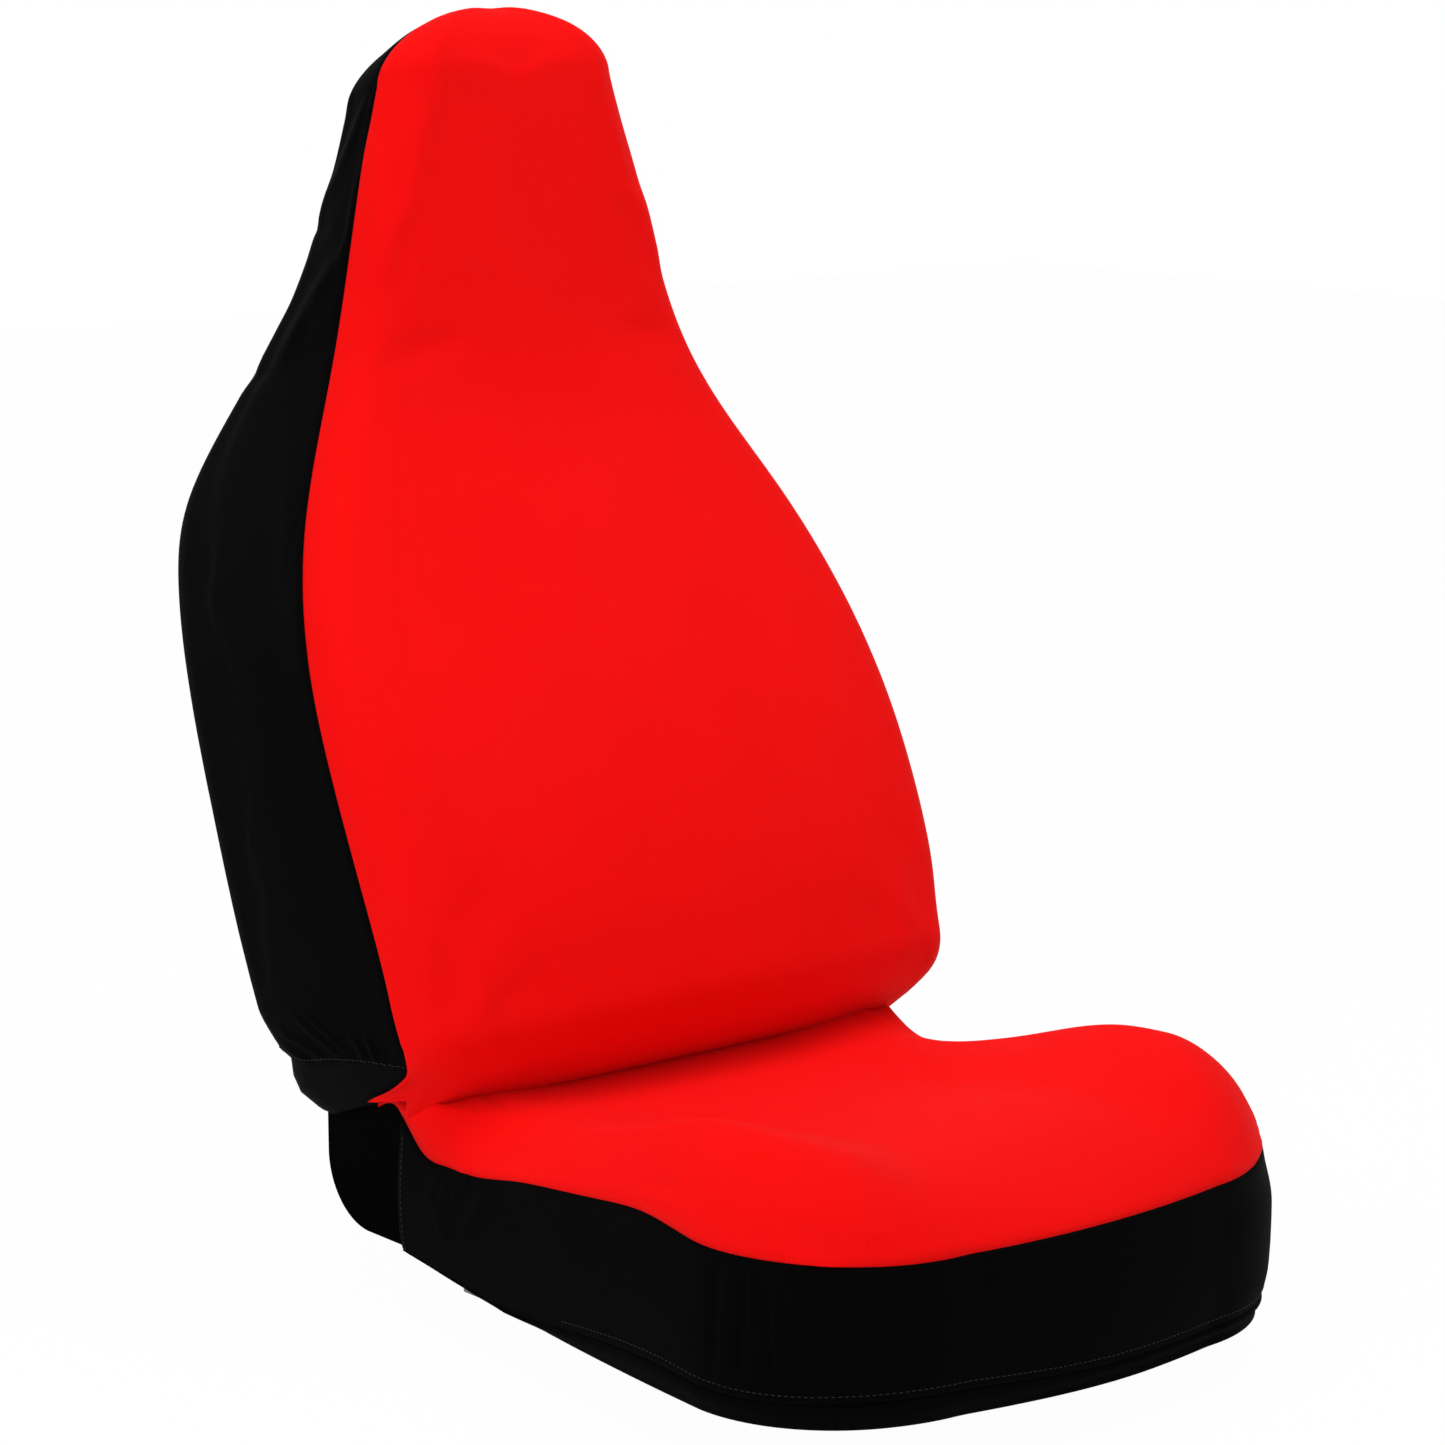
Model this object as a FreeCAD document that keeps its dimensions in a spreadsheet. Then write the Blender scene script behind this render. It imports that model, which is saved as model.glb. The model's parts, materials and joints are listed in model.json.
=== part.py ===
import FreeCAD, Part
import math
import os
import re
import Sketcher

# Bucket seat with an integral headrest, in a two-colour slip-on cover.
# Millimetres. +Z is up, the sitter faces -Y, and +X is the sitter's left.
# The origin is the centre of the four floor bolts, on the floor.
# The backrest is drawn upright about its hinge, then laid back as one.

SIZES = {
    # floor feet and slide rails
    "bolt_spacing_across": 280,
    "bolt_spacing_along": 370,
    "bolt_hole_radius": 5.5,
    "foot_width": 36,
    "foot_end_radius": 20,
    "foot_thickness": 4,
    "foot_overlap": 45,
    "rail_length": 340,
    "lower_rail_width": 40,
    "lower_rail_height": 20,
    "lower_rail_lip": 9,
    "rail_wall": 2,
    "lock_pitch": 10,
    "lock_count": 21,
    "lock_notch_width": 5,
    "lock_notch_depth": 4,
    "lock_line_front": 160,
    "upper_rail_web": 18,
    "upper_rail_flange": 32,
    "upper_rail_top": 44,
    "roller_space": 7,
    "running_gap": 0.05,
    "seat_gap": 0.3,
    "roller_length": 28,
    "roller_offset": 60,
    "cage_length": 160,
    "cage_width": 30,
    "cage_thickness": 1.6,
    # slide release bar
    "release_pivot_front": 35,
    "release_pivot_up": 28.7,
    "release_rod_radius": 3.5,
    "release_pin_radius": 2,
    "release_bar_front": 270,
    "release_bend": 28,
    "lock_plate_width": 24,
    "lock_plate_reach": 19,
    "lock_plate_thickness": 2.5,
    "lock_window_play": 4,
    "lock_window_side": 2,
    "lock_tooth_play": 0.5,
    # cushion frame
    "member_inset": 48,
    "member_wall": 3,
    "member_front": 262,
    "member_hole_radius": 13,
    "member_hole_first": 200,
    "member_hole_spacing": 110,
    "member_top": 97.7,
    "member_flange_lap": 12,
    "bracket_radius": 36,
    "pivot_back": 186,
    "pivot_up": 88,
    "pan_front": 312,
    "pan_rear": 50,
    "pan_sheet": 2,
    "pan_lip": 38,
    "pan_bend": 14,
    "pan_dip_up": 84,
    "pan_rear_up": 92,
    "pan_rear_lip": 12,
    "pan_slope_length": 60,
    "pan_corner_cut": 57,
    "pan_corner_side": 78,
    "pan_side_gap": 0.3,
    "cross_tube_back": 150,
    "cross_tube_up": 69.3,
    "cross_tube_radius": 9,
    "cross_tube_wall": 1.5,
    "seat_strap_width": 14,
    "seat_strap_spacing": 80,
    "seat_strap_sheet": 2,
    "seat_strap_lap": 10,
    # recliner
    "ring_radius": 31,
    "ring_thickness": 5,
    "ring_recess": 3,
    "ring_bore_radius": 23,
    "ring_tooth_depth": 2,
    "ring_tooth_width": 3.6,
    "ring_tooth_count": 15,
    "recliner_gap": 0.2,
    "recliner_plate_thickness": 3,
    "recliner_plate_radius": 28,
    "pawl_width": 13,
    "pawl_inner": 10,
    "pawl_outer": 21.5,
    "cam_radius": 8.5,
    "shaft_radius": 5,
    "shaft_far_inset": 39,
    "lever_inset": 5,
    "lever_thickness": 7,
    "lever_length": 150,
    "lever_width": 26,
    "lever_hub_radius": 16,
    "lever_bend_radius": 260,
    "lever_rise": 6,
    # rear housing
    "housing_radius": 91,
    "housing_wall": 3,
    "housing_depth": 75,
    "housing_bottom": 57,
    "housing_corner": 53,
    "housing_step": 2,
    "shield_gap": 1,
    "shield_inset": 22,
    "shield_front_height": 73,
    "trim_inset": 63,
    # cushion
    "cover_thickness": 3,
    "plan_half_front": 251,
    "plan_taper": 19,
    "plan_back": 158,
    "plan_corner": 143,
    "plan_corner_start": 195,
    "plan_front_bulge": 10,
    "skirt_hem_up": 40,
    "pad_bottom": 98,
    "pad_apron": 18,
    "pad_apron_end": 96,
    "cushion_back": 136,
    "crest_inset": 36,
    "well_half": 90,
    "well_share": 0.6,
    "well_rise_share": 0.3,
    "bolster_outset": 14,
    "bolster_drop": 90,
    "bolster_mid_drop": 32,
    "bolster_mid_share": 0.65,
    "bolster_mid_in": 4,
    "bolster_base_gap": 5,
    "cushion_below_pad": 30,
    "hem_height": 8,
    "hem_proud": 1.5,
    # backrest
    "recline_angle": 20,
    "back_clear_radius": 92,
    "back_front_corner": 34,
    "back_rear_corner": 40,
    "back_crown_radius": 1500,
    "back_member_gap": 11.4,
    "back_member_depth": 48,
    "back_member_height": 430,
    "back_member_bend_up": 80,
    "back_member_hole_radius": 11,
    "back_member_hole_first": 200,
    "back_member_hole_spacing": 100,
    "back_channel_up": 98,
    "back_channel_height": 28,
    "back_channel_depth": 24,
    "back_channel_wall": 2,
    "back_channel_inset": 10,
    "arch_depth": -20,
    "arch_wall": 14,
    "arch_start_up": 380,
    "arch_bend_up": 492,
    "arch_top_up": 620,
    "arch_top_half": 112,
    "arch_width": 26,
    "head_plate_half": 48,
    "head_plate_wall": 3,
    "head_plate_top_up": 795,
    "head_plate_top_depth": 72,
    "head_plate_foot": 6,
    "head_cut_reach": 100,
    "head_window_half": 24,
    "back_strap_width": 22,
    "back_strap_sheet": 1.5,
    "back_strap_first_up": 170,
    "back_strap_spacing": 90,
    "back_foam_plane": -40,
    "head_slot_half": 62,
    "head_slot_thickness": 20,
    "head_slot_below": 15,
    "head_slot_above": 12,
    "head_slot_rear": 60,
    "head_window_low": 45,
    "head_window_high": 35,
    "foam_hollow_side": 18,
    "foam_hollow_depth": 200,
    "foam_hollow_low": 20,
    "arch_clearance": 11,
    "foam_hollow_top": 42,
}

# Cushion sections: place along Y, bolster crest height and middle height.
CUSHION_SECTIONS = (
    (136, 160, 159),
    (124, 157, 156),
    (80, 164, 162),
    (14, 172, 164),
    (-68, 195, 172),
    (-155, 220, 188),
    (-202, 223, 196),
    (-243, 209, 196),
    (-284, 188, 190),
    (-315, 176, 182),
    (-352, 158, 160),
)
# Side seam of the cushion cover: place along Y and height.
SEAT_SEAM = ((158, 160), (146, 149), (133, 139), (100, 135), (66, 136), (11, 146), (-48, 154),
             (-105, 161), (-150, 165), (-214, 159), (-255, 157), (-352, 154))
# Lower edge of the skirt: place along Y and height above its front edge.
SKIRT_EDGE = ((158, 14), (107, 11), (44, 7), (-25, 4), (-99, 2), (-170, 0), (-352, 0))
# Backrest sections: height up the back, half width, seam depth, rear depth and rear flare.
BACK_SECTIONS = (
    (55, 222, 41, -30, 0),
    (72, 243, 74, -56, 0),
    (100, 259, 109, -88, 0),
    (210, 268, 116, -86, 4),
    (317, 267, 106, -82, 8),
    (417, 252, 90, -94, 12),
    (497, 225, 78, -110, 16),
    (567, 192, 72, -114, 16),
    (627, 166, 77, -76, 8),
    (687, 148, 91, -20, 4),
    (747, 132, 108, 20, 0),
    (817, 112, 128, 58, 0),
    (858, 98, 138, 84, 0),
    (877, 74, 134, 94, 0),
)
# The black cover starts at this section, above the red cover's lower edge.
SIDE_COVER_START = 2

doc = FreeCAD.newDocument("bucket_seat")
sheet = doc.addObject("Spreadsheet::Sheet", "Sizes")
parts = []


def fill_sheet():
    rows = dict(SIZES)
    for number, (along, crest, middle) in enumerate(CUSHION_SECTIONS):
        rows["cushion_along_%d" % number] = along
        rows["cushion_crest_%d" % number] = crest
        rows["cushion_middle_%d" % number] = middle
    for number, (along, height) in enumerate(SEAT_SEAM):
        rows["seam_along_%d" % number] = along
        rows["seam_up_%d" % number] = height
    for number, (along, height) in enumerate(SKIRT_EDGE):
        rows["edge_along_%d" % number] = along
        rows["edge_up_%d" % number] = height
    for number, (up, half, front, rear, flare) in enumerate(BACK_SECTIONS):
        rows["back_up_%d" % number] = up
        rows["back_half_%d" % number] = half
        rows["back_seam_%d" % number] = front
        rows["back_rear_%d" % number] = rear
        rows["back_flare_%d" % number] = flare
    for line, (name, value) in enumerate(rows.items(), start=1):
        sheet.set("A%d" % line, name)
        sheet.set("B%d" % line, str(value))
        sheet.setAlias("B%d" % line, name)
    doc.recompute()


def size(name):
    return float(sheet.get(name))


def bound(text):
    """An expression in sheet names, with each name tied to the sheet."""
    return re.sub(r"\b[a-z]+(_[a-z0-9]+)+\b", lambda found: "Sizes." + found.group(0), text)


def value_of(text):
    return float(sheet.evalExpression(bound(text)))


def new_body(label):
    body = doc.addObject("PartDesign::Body", label)
    body.Label = label
    body.AllowCompound = True
    parts.append(body)
    return body


def new_feature(label, shape):
    feature = doc.addObject("Part::Feature", label)
    feature.Label = label
    feature.Shape = shape
    parts.append(feature)
    return feature


def new_sketch(body, name, role, lift):
    sketch = body.newObject("Sketcher::SketchObject", name)
    plane = [item for item in body.Origin.OriginFeatures if item.Role == role][0]
    sketch.AttachmentSupport = (plane, [""])
    sketch.MapMode = "FlatFace"
    sketch.setExpression("AttachmentOffset.Base.z", bound(lift))
    return sketch


def pin_point(sketch, geometry, position, across, up):
    """Hold one sketch point at two sheet expressions."""
    for kind, text in (("DistanceX", across), ("DistanceY", up)):
        constraint = Sketcher.Constraint(kind, -1, 1, geometry, position, value_of(text))
        index = sketch.addConstraint(constraint)
        sketch.setExpression("Constraints[%d]" % index, bound(text))


def add_outline(sketch, corners):
    """Closed outline. A corner is (across, up), or (across, up, radius, turn) before an arc."""
    points = [(value_of(row[0]), value_of(row[1])) for row in corners]
    ends = []
    for index, row in enumerate(corners):
        start = FreeCAD.Vector(points[index][0], points[index][1], 0)
        finish = FreeCAD.Vector(*points[(index + 1) % len(points)], 0)
        if len(row) == 2:
            geometry = sketch.addGeometry(Part.LineSegment(start, finish), False)
            ends.append((geometry, 1, 2))
            continue
        radius = value_of(row[2])
        chord = finish - start
        reach = math.sqrt(max(radius ** 2 - (chord.Length / 2) ** 2, 0))
        side = FreeCAD.Vector(-chord.y, chord.x, 0).normalize()
        centre = (start + finish) / 2 + side * reach * row[3]
        first, last = (start, finish) if row[3] > 0 else (finish, start)
        angle_first = math.atan2(first.y - centre.y, first.x - centre.x)
        angle_last = math.atan2(last.y - centre.y, last.x - centre.x)
        circle = Part.Circle(centre, FreeCAD.Vector(0, 0, 1), radius)
        geometry = sketch.addGeometry(Part.ArcOfCircle(circle, angle_first, angle_last), False)
        ends.append((geometry, 1, 2) if row[3] > 0 else (geometry, 2, 1))
        held = sketch.addConstraint(Sketcher.Constraint("Radius", geometry, radius))
        sketch.setExpression("Constraints[%d]" % held, bound(row[2]))
    for index, (geometry, begin, end) in enumerate(ends):
        following = ends[(index + 1) % len(ends)]
        sketch.addConstraint(Sketcher.Constraint("Coincident", geometry, end, following[0], following[1]))
    for (geometry, begin, end), row in zip(ends, corners):
        pin_point(sketch, geometry, begin, row[0], row[1])


def add_circle(sketch, across, up, radius):
    centre = FreeCAD.Vector(value_of(across), value_of(up), 0)
    circle = Part.Circle(centre, FreeCAD.Vector(0, 0, 1), value_of(radius))
    geometry = sketch.addGeometry(circle, False)
    pin_point(sketch, geometry, 3, across, up)
    held = sketch.addConstraint(Sketcher.Constraint("Radius", geometry, value_of(radius)))
    sketch.setExpression("Constraints[%d]" % held, bound(radius))


def add_box(sketch, low_across, low_up, high_across, high_up):
    add_outline(sketch, ((low_across, low_up), (high_across, low_up),
                         (high_across, high_up), (low_across, high_up)))


def pad(body, sketch, length):
    feature = body.newObject("PartDesign::Pad", sketch.Name + "_pad")
    feature.Profile = sketch
    feature.setExpression("Length", bound(length))
    return feature


def pocket(body, sketch, length):
    """Cut from the sketch along its plane's positive direction."""
    feature = body.newObject("PartDesign::Pocket", sketch.Name + "_cut")
    feature.Profile = sketch
    feature.Reversed = True
    feature.setExpression("Length", bound(length))
    return feature


def pattern(body, feature, kind, axis_role, values):
    """Repeat a feature along or about one of the body's own axes."""
    axis = [item for item in body.Origin.OriginFeatures if item.Role == axis_role][0]
    repeat = body.newObject(kind, feature.Name + "_repeat")
    repeat.Originals = [feature]
    if kind == "PartDesign::LinearPattern":
        repeat.Direction = (axis, [""])
    else:
        repeat.Axis = (axis, [""])
    for name, text in values.items():
        repeat.setExpression(name, bound(text))
    body.Tip = repeat
    return repeat


def plate_along_x(body, name, corners, inner, thickness, side):
    """Plate whose outline lies in Y and Z, from inner outwards on the given side."""
    lift = inner if side > 0 else "-(%s) - (%s)" % (inner, thickness)
    sketch = new_sketch(body, name, "YZ_Plane", lift)
    add_outline(sketch, corners)
    return pad(body, sketch, thickness)


def tilt_back(feature):
    """Lay a backrest piece back about the recliner hinge."""
    feature.Placement = FreeCAD.Placement(FreeCAD.Vector(0, size("pivot_back"), size("pivot_up")),
                                          FreeCAD.Rotation(FreeCAD.Vector(1, 0, 0),
                                                           -size("recline_angle")))
    feature.setExpression("Placement.Base.y", bound("pivot_back"))
    feature.setExpression("Placement.Base.z", bound("pivot_up"))
    feature.setExpression("Placement.Rotation.Angle", bound("-recline_angle"))


def place_at_pivot(body):
    body.setExpression("Placement.Base.y", bound("pivot_back"))
    body.setExpression("Placement.Base.z", bound("pivot_up"))


SIDES = (("left", 1), ("right", -1))
RAIL_X = "bolt_spacing_across / 2"
MEMBER_INNER = "(plan_half_front - member_inset)"
RING_FACE = "(plan_half_front - member_inset - ring_thickness)"
BACK_MEMBER_INNER = "(plan_half_front - member_inset - back_member_gap)"
SHIELD_OUTER = "(plan_half_front - shield_inset)"
LEVER_INNER = "(plan_half_front - lever_inset)"
HOUSING_BACK = "(pivot_back + housing_depth)"
HOUSING_FRONT = "(cushion_back + housing_step)"
RAIL_FLOOR = "(foot_thickness + rail_wall)"
FLANGE_UP = "(foot_thickness + rail_wall + roller_space)"
LOCK_MIDDLE = "(-lock_line_front + lock_pitch * (lock_count - 1) / 2)"
# Length by which a cutting block passes the piece that it cuts.
CUT_MARGIN = 20


# Floor feet

def foot(body, side, end):
    name = "foot_%s_%s" % ("left" if side > 0 else "right", "front" if end < 0 else "rear")
    centre = "%d * %s" % (side, RAIL_X)
    bolt = "%d * bolt_spacing_along / 2" % end
    inner_end = "%d * (rail_length / 2 - foot_overlap)" % end
    low = "%s - foot_width / 2" % centre
    high = "%s + foot_width / 2" % centre
    sketch = new_sketch(body, name + "_outline", "XY_Plane", "0")
    if end < 0:
        corners = ((low, bolt, "foot_end_radius", 1), (high, bolt), (high, inner_end), (low, inner_end))
    else:
        corners = ((high, bolt, "foot_end_radius", 1), (low, bolt), (low, inner_end), (high, inner_end))
    add_outline(sketch, corners)
    add_circle(sketch, centre, bolt, "bolt_hole_radius")
    pad(body, sketch, "foot_thickness")


def floor_feet(end, label):
    body = new_body(label)
    for name, side in SIDES:
        foot(body, side, end)


# Slide rails

def lower_rail(label, side):
    body = new_body(label)
    centre = "%d * %s" % (side, RAIL_X)
    outer = "lower_rail_width / 2"
    top = "foot_thickness + lower_rail_height"
    rows = (("-", outer, "foot_thickness"), ("+", outer, "foot_thickness"), ("+", outer, top),
            ("+", outer + " - lower_rail_lip", top),
            ("+", outer + " - lower_rail_lip", top + " - rail_wall"),
            ("+", outer + " - rail_wall", top + " - rail_wall"),
            ("+", outer + " - rail_wall", RAIL_FLOOR), ("-", outer + " - rail_wall", RAIL_FLOOR),
            ("-", outer + " - rail_wall", top + " - rail_wall"),
            ("-", outer + " - lower_rail_lip", top + " - rail_wall"),
            ("-", outer + " - lower_rail_lip", top), ("-", outer, top))
    sketch = new_sketch(body, label + "_section", "XZ_Plane", "-rail_length / 2")
    add_outline(sketch, [("%s %s (%s)" % (centre, sign, across), up) for sign, across, up in rows])
    pad(body, sketch, "rail_length")
    notch = new_sketch(body, label + "_notch", "XY_Plane", top + " - rail_wall")
    lip_edge = "%s - %d * (%s - lower_rail_lip)" % (centre, side, outer)
    lip_root = "%s - %d * lock_notch_depth" % (lip_edge, side)
    low, high = (lip_root, lip_edge) if side > 0 else (lip_edge, lip_root)
    add_box(notch, low, "-lock_line_front - lock_notch_width / 2",
            high, "-lock_line_front + lock_notch_width / 2")
    cut = pocket(body, notch, "rail_wall")
    doc.recompute()
    pattern(body, cut, "PartDesign::LinearPattern", "Y_Axis",
            {"Length": "lock_pitch * (lock_count - 1)", "Occurrences": "lock_count"})


def upper_rail(label, side):
    body = new_body(label)
    centre = "%d * %s" % (side, RAIL_X)
    web = "upper_rail_web / 2"
    flange = "upper_rail_flange / 2"
    inner = web + " - rail_wall"
    step = FLANGE_UP + " + rail_wall"
    rows = (("-", flange, FLANGE_UP), ("-", inner, FLANGE_UP),
            ("-", inner, "upper_rail_top - rail_wall"), ("+", inner, "upper_rail_top - rail_wall"),
            ("+", inner, FLANGE_UP), ("+", flange, FLANGE_UP), ("+", flange, step), ("+", web, step),
            ("+", web, "upper_rail_top"), ("-", web, "upper_rail_top"), ("-", web, step),
            ("-", flange, step))
    sketch = new_sketch(body, label + "_section", "XZ_Plane", "-rail_length / 2")
    add_outline(sketch, [("%s %s (%s)" % (centre, sign, across), up) for sign, across, up in rows])
    pad(body, sketch, "rail_length")
    window = new_sketch(body, label + "_window", "YZ_Plane",
                        "%s - %d * %s - %s" % (centre, side, web, "rail_wall" if side < 0 else "0"))
    reach = "(lock_plate_width / 2 + lock_window_side)"
    add_box(window, LOCK_MIDDLE + " - " + reach, "foot_thickness + lower_rail_height - lock_window_side",
            LOCK_MIDDLE + " + " + reach, "release_pivot_up + lock_plate_thickness + lock_window_play")
    pocket(body, window, "rail_wall")
    hole = new_sketch(body, label + "_hole", "YZ_Plane", "%s - %s" % (centre, web))
    add_circle(hole, "-release_pivot_front", "release_pivot_up", "release_pin_radius")
    pocket(body, hole, "upper_rail_web")


ROLLER_RADIUS = "(roller_space / 2 - running_gap)"
ROLLER_UP = "(foot_thickness + rail_wall + roller_space / 2)"
ROLLER_PLACES = ("-roller_offset", "roller_offset")


def slide_cage(label, side):
    body = new_body(label)
    centre = "%d * %s" % (side, RAIL_X)
    sketch = new_sketch(body, label + "_outline", "XY_Plane", ROLLER_UP + " - cage_thickness / 2")
    add_box(sketch, centre + " - cage_width / 2", "-cage_length / 2",
            centre + " + cage_width / 2", "cage_length / 2")
    for place in ROLLER_PLACES:
        reach = "(%s + running_gap)" % ROLLER_RADIUS
        window = "(roller_length / 2 + running_gap)"
        add_box(sketch, "%s - %s" % (centre, window), "%s - %s" % (place, reach),
                "%s + %s" % (centre, window), "%s + %s" % (place, reach))
    pad(body, sketch, "cage_thickness")


def slide_rollers(label, side):
    body = new_body(label)
    centre = "%d * %s" % (side, RAIL_X)
    sketch = new_sketch(body, label + "_circles", "YZ_Plane", centre + " - roller_length / 2")
    for place in ROLLER_PLACES:
        add_circle(sketch, place, ROLLER_UP, ROLLER_RADIUS)
    pad(body, sketch, "roller_length")


# Slide release

def release_bar():
    """Square bar bent round the front, with an arm that runs inside each upper rail."""
    body = new_body("release_bar")
    outer = "(%s + release_rod_radius)" % RAIL_X
    inner = "(%s - release_rod_radius)" % RAIL_X
    front = "(release_bar_front + release_rod_radius)"
    back = "(release_bar_front - release_rod_radius)"
    wide = "(release_bend + release_rod_radius)"
    tight = "(release_bend - release_rod_radius)"
    tail = "(3 * release_rod_radius - release_pivot_front)"
    corners = (("-" + outer, "wide_bend - front_face", wide, 1), ("wide_bend - outer_face", "-front_face"),
               ("outer_face - wide_bend", "-front_face", wide, 1), ("outer_face", "wide_bend - front_face"),
               ("outer_face", tail), ("inner_face", tail),
               ("inner_face", "tight_bend - back_face", tight, -1),
               ("inner_face - tight_bend", "-back_face"),
               ("tight_bend - inner_face", "-back_face", tight, -1),
               ("-inner_face", "tight_bend - back_face"), ("-inner_face", tail), ("-outer_face", tail))
    words = {"wide_bend": wide, "tight_bend": tight, "front_face": front, "back_face": back,
             "outer_face": outer, "inner_face": inner}
    rows = []
    for corner in corners:
        texts = list(corner)
        for index in (0, 1):
            for word, text in words.items():
                texts[index] = texts[index].replace(word, text)
        rows.append(tuple(texts))
    sketch = new_sketch(body, "release_bar_outline", "XY_Plane", "release_pivot_up - release_rod_radius")
    add_outline(sketch, rows)
    pad(body, sketch, "2 * release_rod_radius")
    hole = new_sketch(body, "release_bar_hole", "YZ_Plane", "-" + outer)
    add_circle(hole, "-release_pivot_front", "release_pivot_up", "release_pin_radius + running_gap")
    pocket(body, hole, "2 * " + outer)


def release_pins():
    body = new_body("release_pins")
    for name, side in SIDES:
        sketch = new_sketch(body, "release_pin_" + name, "YZ_Plane",
                            "%d * %s - upper_rail_web / 2" % (side, RAIL_X))
        add_circle(sketch, "-release_pivot_front", "release_pivot_up", "release_pin_radius")
        pad(body, sketch, "upper_rail_web")


def lock_plate(label, side):
    body = new_body(label)
    inner_face = "%d * (%s - release_rod_radius)" % (side, RAIL_X)
    tip = "%d * (%s - lock_plate_reach)" % (side, RAIL_X)
    low, high = (tip, inner_face) if side > 0 else (inner_face, tip)
    bottom = "(release_pivot_up - lock_plate_thickness / 2)"
    sketch = new_sketch(body, label + "_outline", "XY_Plane", bottom)
    add_box(sketch, low, LOCK_MIDDLE + " - lock_plate_width / 2",
            high, LOCK_MIDDLE + " + lock_plate_width / 2")
    pad(body, sketch, "lock_plate_thickness")
    teeth = new_sketch(body, label + "_teeth", "XY_Plane",
                       "foot_thickness + lower_rail_height + seat_gap")
    lip_edge = "%d * (%s - lower_rail_width / 2 + lower_rail_lip)" % (side, RAIL_X)
    lip_root = "%s - %d * (lock_notch_depth - lock_tooth_play)" % (lip_edge, side)
    low, high = (lip_root, lip_edge) if side > 0 else (lip_edge, lip_root)
    for step in (-1, 0, 1):
        place = "%s + %d * lock_pitch" % (LOCK_MIDDLE, step)
        add_box(teeth, low, place + " - lock_notch_width / 2 + lock_tooth_play",
                high, place + " + lock_notch_width / 2 - lock_tooth_play")
    pad(body, teeth, bottom + " - foot_thickness - lower_rail_height - seat_gap")


# Cushion frame

def cushion_side_member(label, side):
    body = new_body(label)
    ring = "bracket_radius"
    low_back = ("pivot_back + %s * cos(40 deg)" % ring, "pivot_up - %s * sin(40 deg)" % ring, ring, 1)
    high_back = ("pivot_back - %s * cos(50 deg)" % ring, "pivot_up + %s * sin(50 deg)" % ring)
    outline = (("-member_front", "upper_rail_top"), ("pivot_back - bracket_radius / 2", "upper_rail_top"),
               low_back, high_back, ("cushion_back + 2 * member_wall", "member_top"),
               ("-member_front", "member_top"))
    plate_along_x(body, label + "_web", outline, MEMBER_INNER, "member_wall", side)
    flange_end = "(rail_length / 2 + 10)"
    flange = (("-" + flange_end, "upper_rail_top"), (flange_end, "upper_rail_top"),
              (flange_end, "upper_rail_top + member_wall"),
              ("-" + flange_end, "upper_rail_top + member_wall"))
    rail_side = "(%s - member_flange_lap)" % RAIL_X
    plate_along_x(body, label + "_flange", flange, rail_side, "%s - %s" % (MEMBER_INNER, rail_side), side)
    lift = MEMBER_INNER if side > 0 else "-%s - member_wall" % MEMBER_INNER
    holes = new_sketch(body, label + "_holes", "YZ_Plane", lift)
    for step in (0, 1):
        add_circle(holes, "%d * member_hole_spacing - member_hole_first" % step,
                   "(upper_rail_top + member_top) / 2", "member_hole_radius")
    add_circle(holes, "pivot_back", "pivot_up", "shaft_radius + running_gap")
    pocket(body, holes, "member_wall")


def cushion_pan():
    """Sheet pan with a front lip, a dip for the hips and a rear hook for the straps."""
    body = new_body("cushion_pan")
    front = "-pan_front"
    rear = "-pan_rear"
    wall = "pan_sheet"
    dip = "-pan_rear - pan_slope_length"
    top = "(pad_bottom - seat_gap)"
    corners = ((front, top + " - pan_lip"), (front + " + " + wall, top + " - pan_lip"),
               (front + " + " + wall, top + " - pan_bend / 2"),
               (front + " + pan_bend", top + " - " + wall), (dip, "pan_dip_up"),
               (rear + " - " + wall, "pan_rear_up - 1.2 * " + wall),
               (rear + " - " + wall, "pan_rear_up - pan_rear_lip"),
               (rear, "pan_rear_up - pan_rear_lip"), (rear, "pan_rear_up"),
               (dip, "pan_dip_up + " + wall), (front + " + pan_bend", top),
               (front, top + " - pan_bend / 2"))
    half = "(%s - pan_side_gap)" % MEMBER_INNER
    sketch = new_sketch(body, "cushion_pan_section", "YZ_Plane", "-" + half)
    add_outline(sketch, corners)
    pad(body, sketch, "2 * " + half)
    cut_pan_corners(body)


def cut_pan_corners(body):
    """Slant the pan's two front corners so that it follows the cushion's plan."""
    sketch = new_sketch(body, "cushion_pan_corners", "XY_Plane", "0")
    for side in (1, -1):
        edge = "%d * (%s + 5)" % (side, MEMBER_INNER)
        inner = "%d * (%s + 5 - pan_corner_side)" % (side, MEMBER_INNER)
        row = ((edge, "-pan_front - 5"), (edge, "pan_corner_cut - pan_front"), (inner, "-pan_front - 5"))
        add_outline(sketch, row if side > 0 else (row[0], row[2], row[1]))
    pocket(body, sketch, "pad_bottom + 10")


def rear_cross_tube():
    body = new_body("rear_cross_tube")
    sketch = new_sketch(body, "rear_cross_tube_circles", "YZ_Plane", "-" + MEMBER_INNER)
    add_circle(sketch, "cross_tube_back", "cross_tube_up", "cross_tube_radius")
    add_circle(sketch, "cross_tube_back", "cross_tube_up", "cross_tube_radius - cross_tube_wall")
    pad(body, sketch, "2 * " + MEMBER_INNER)


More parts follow.
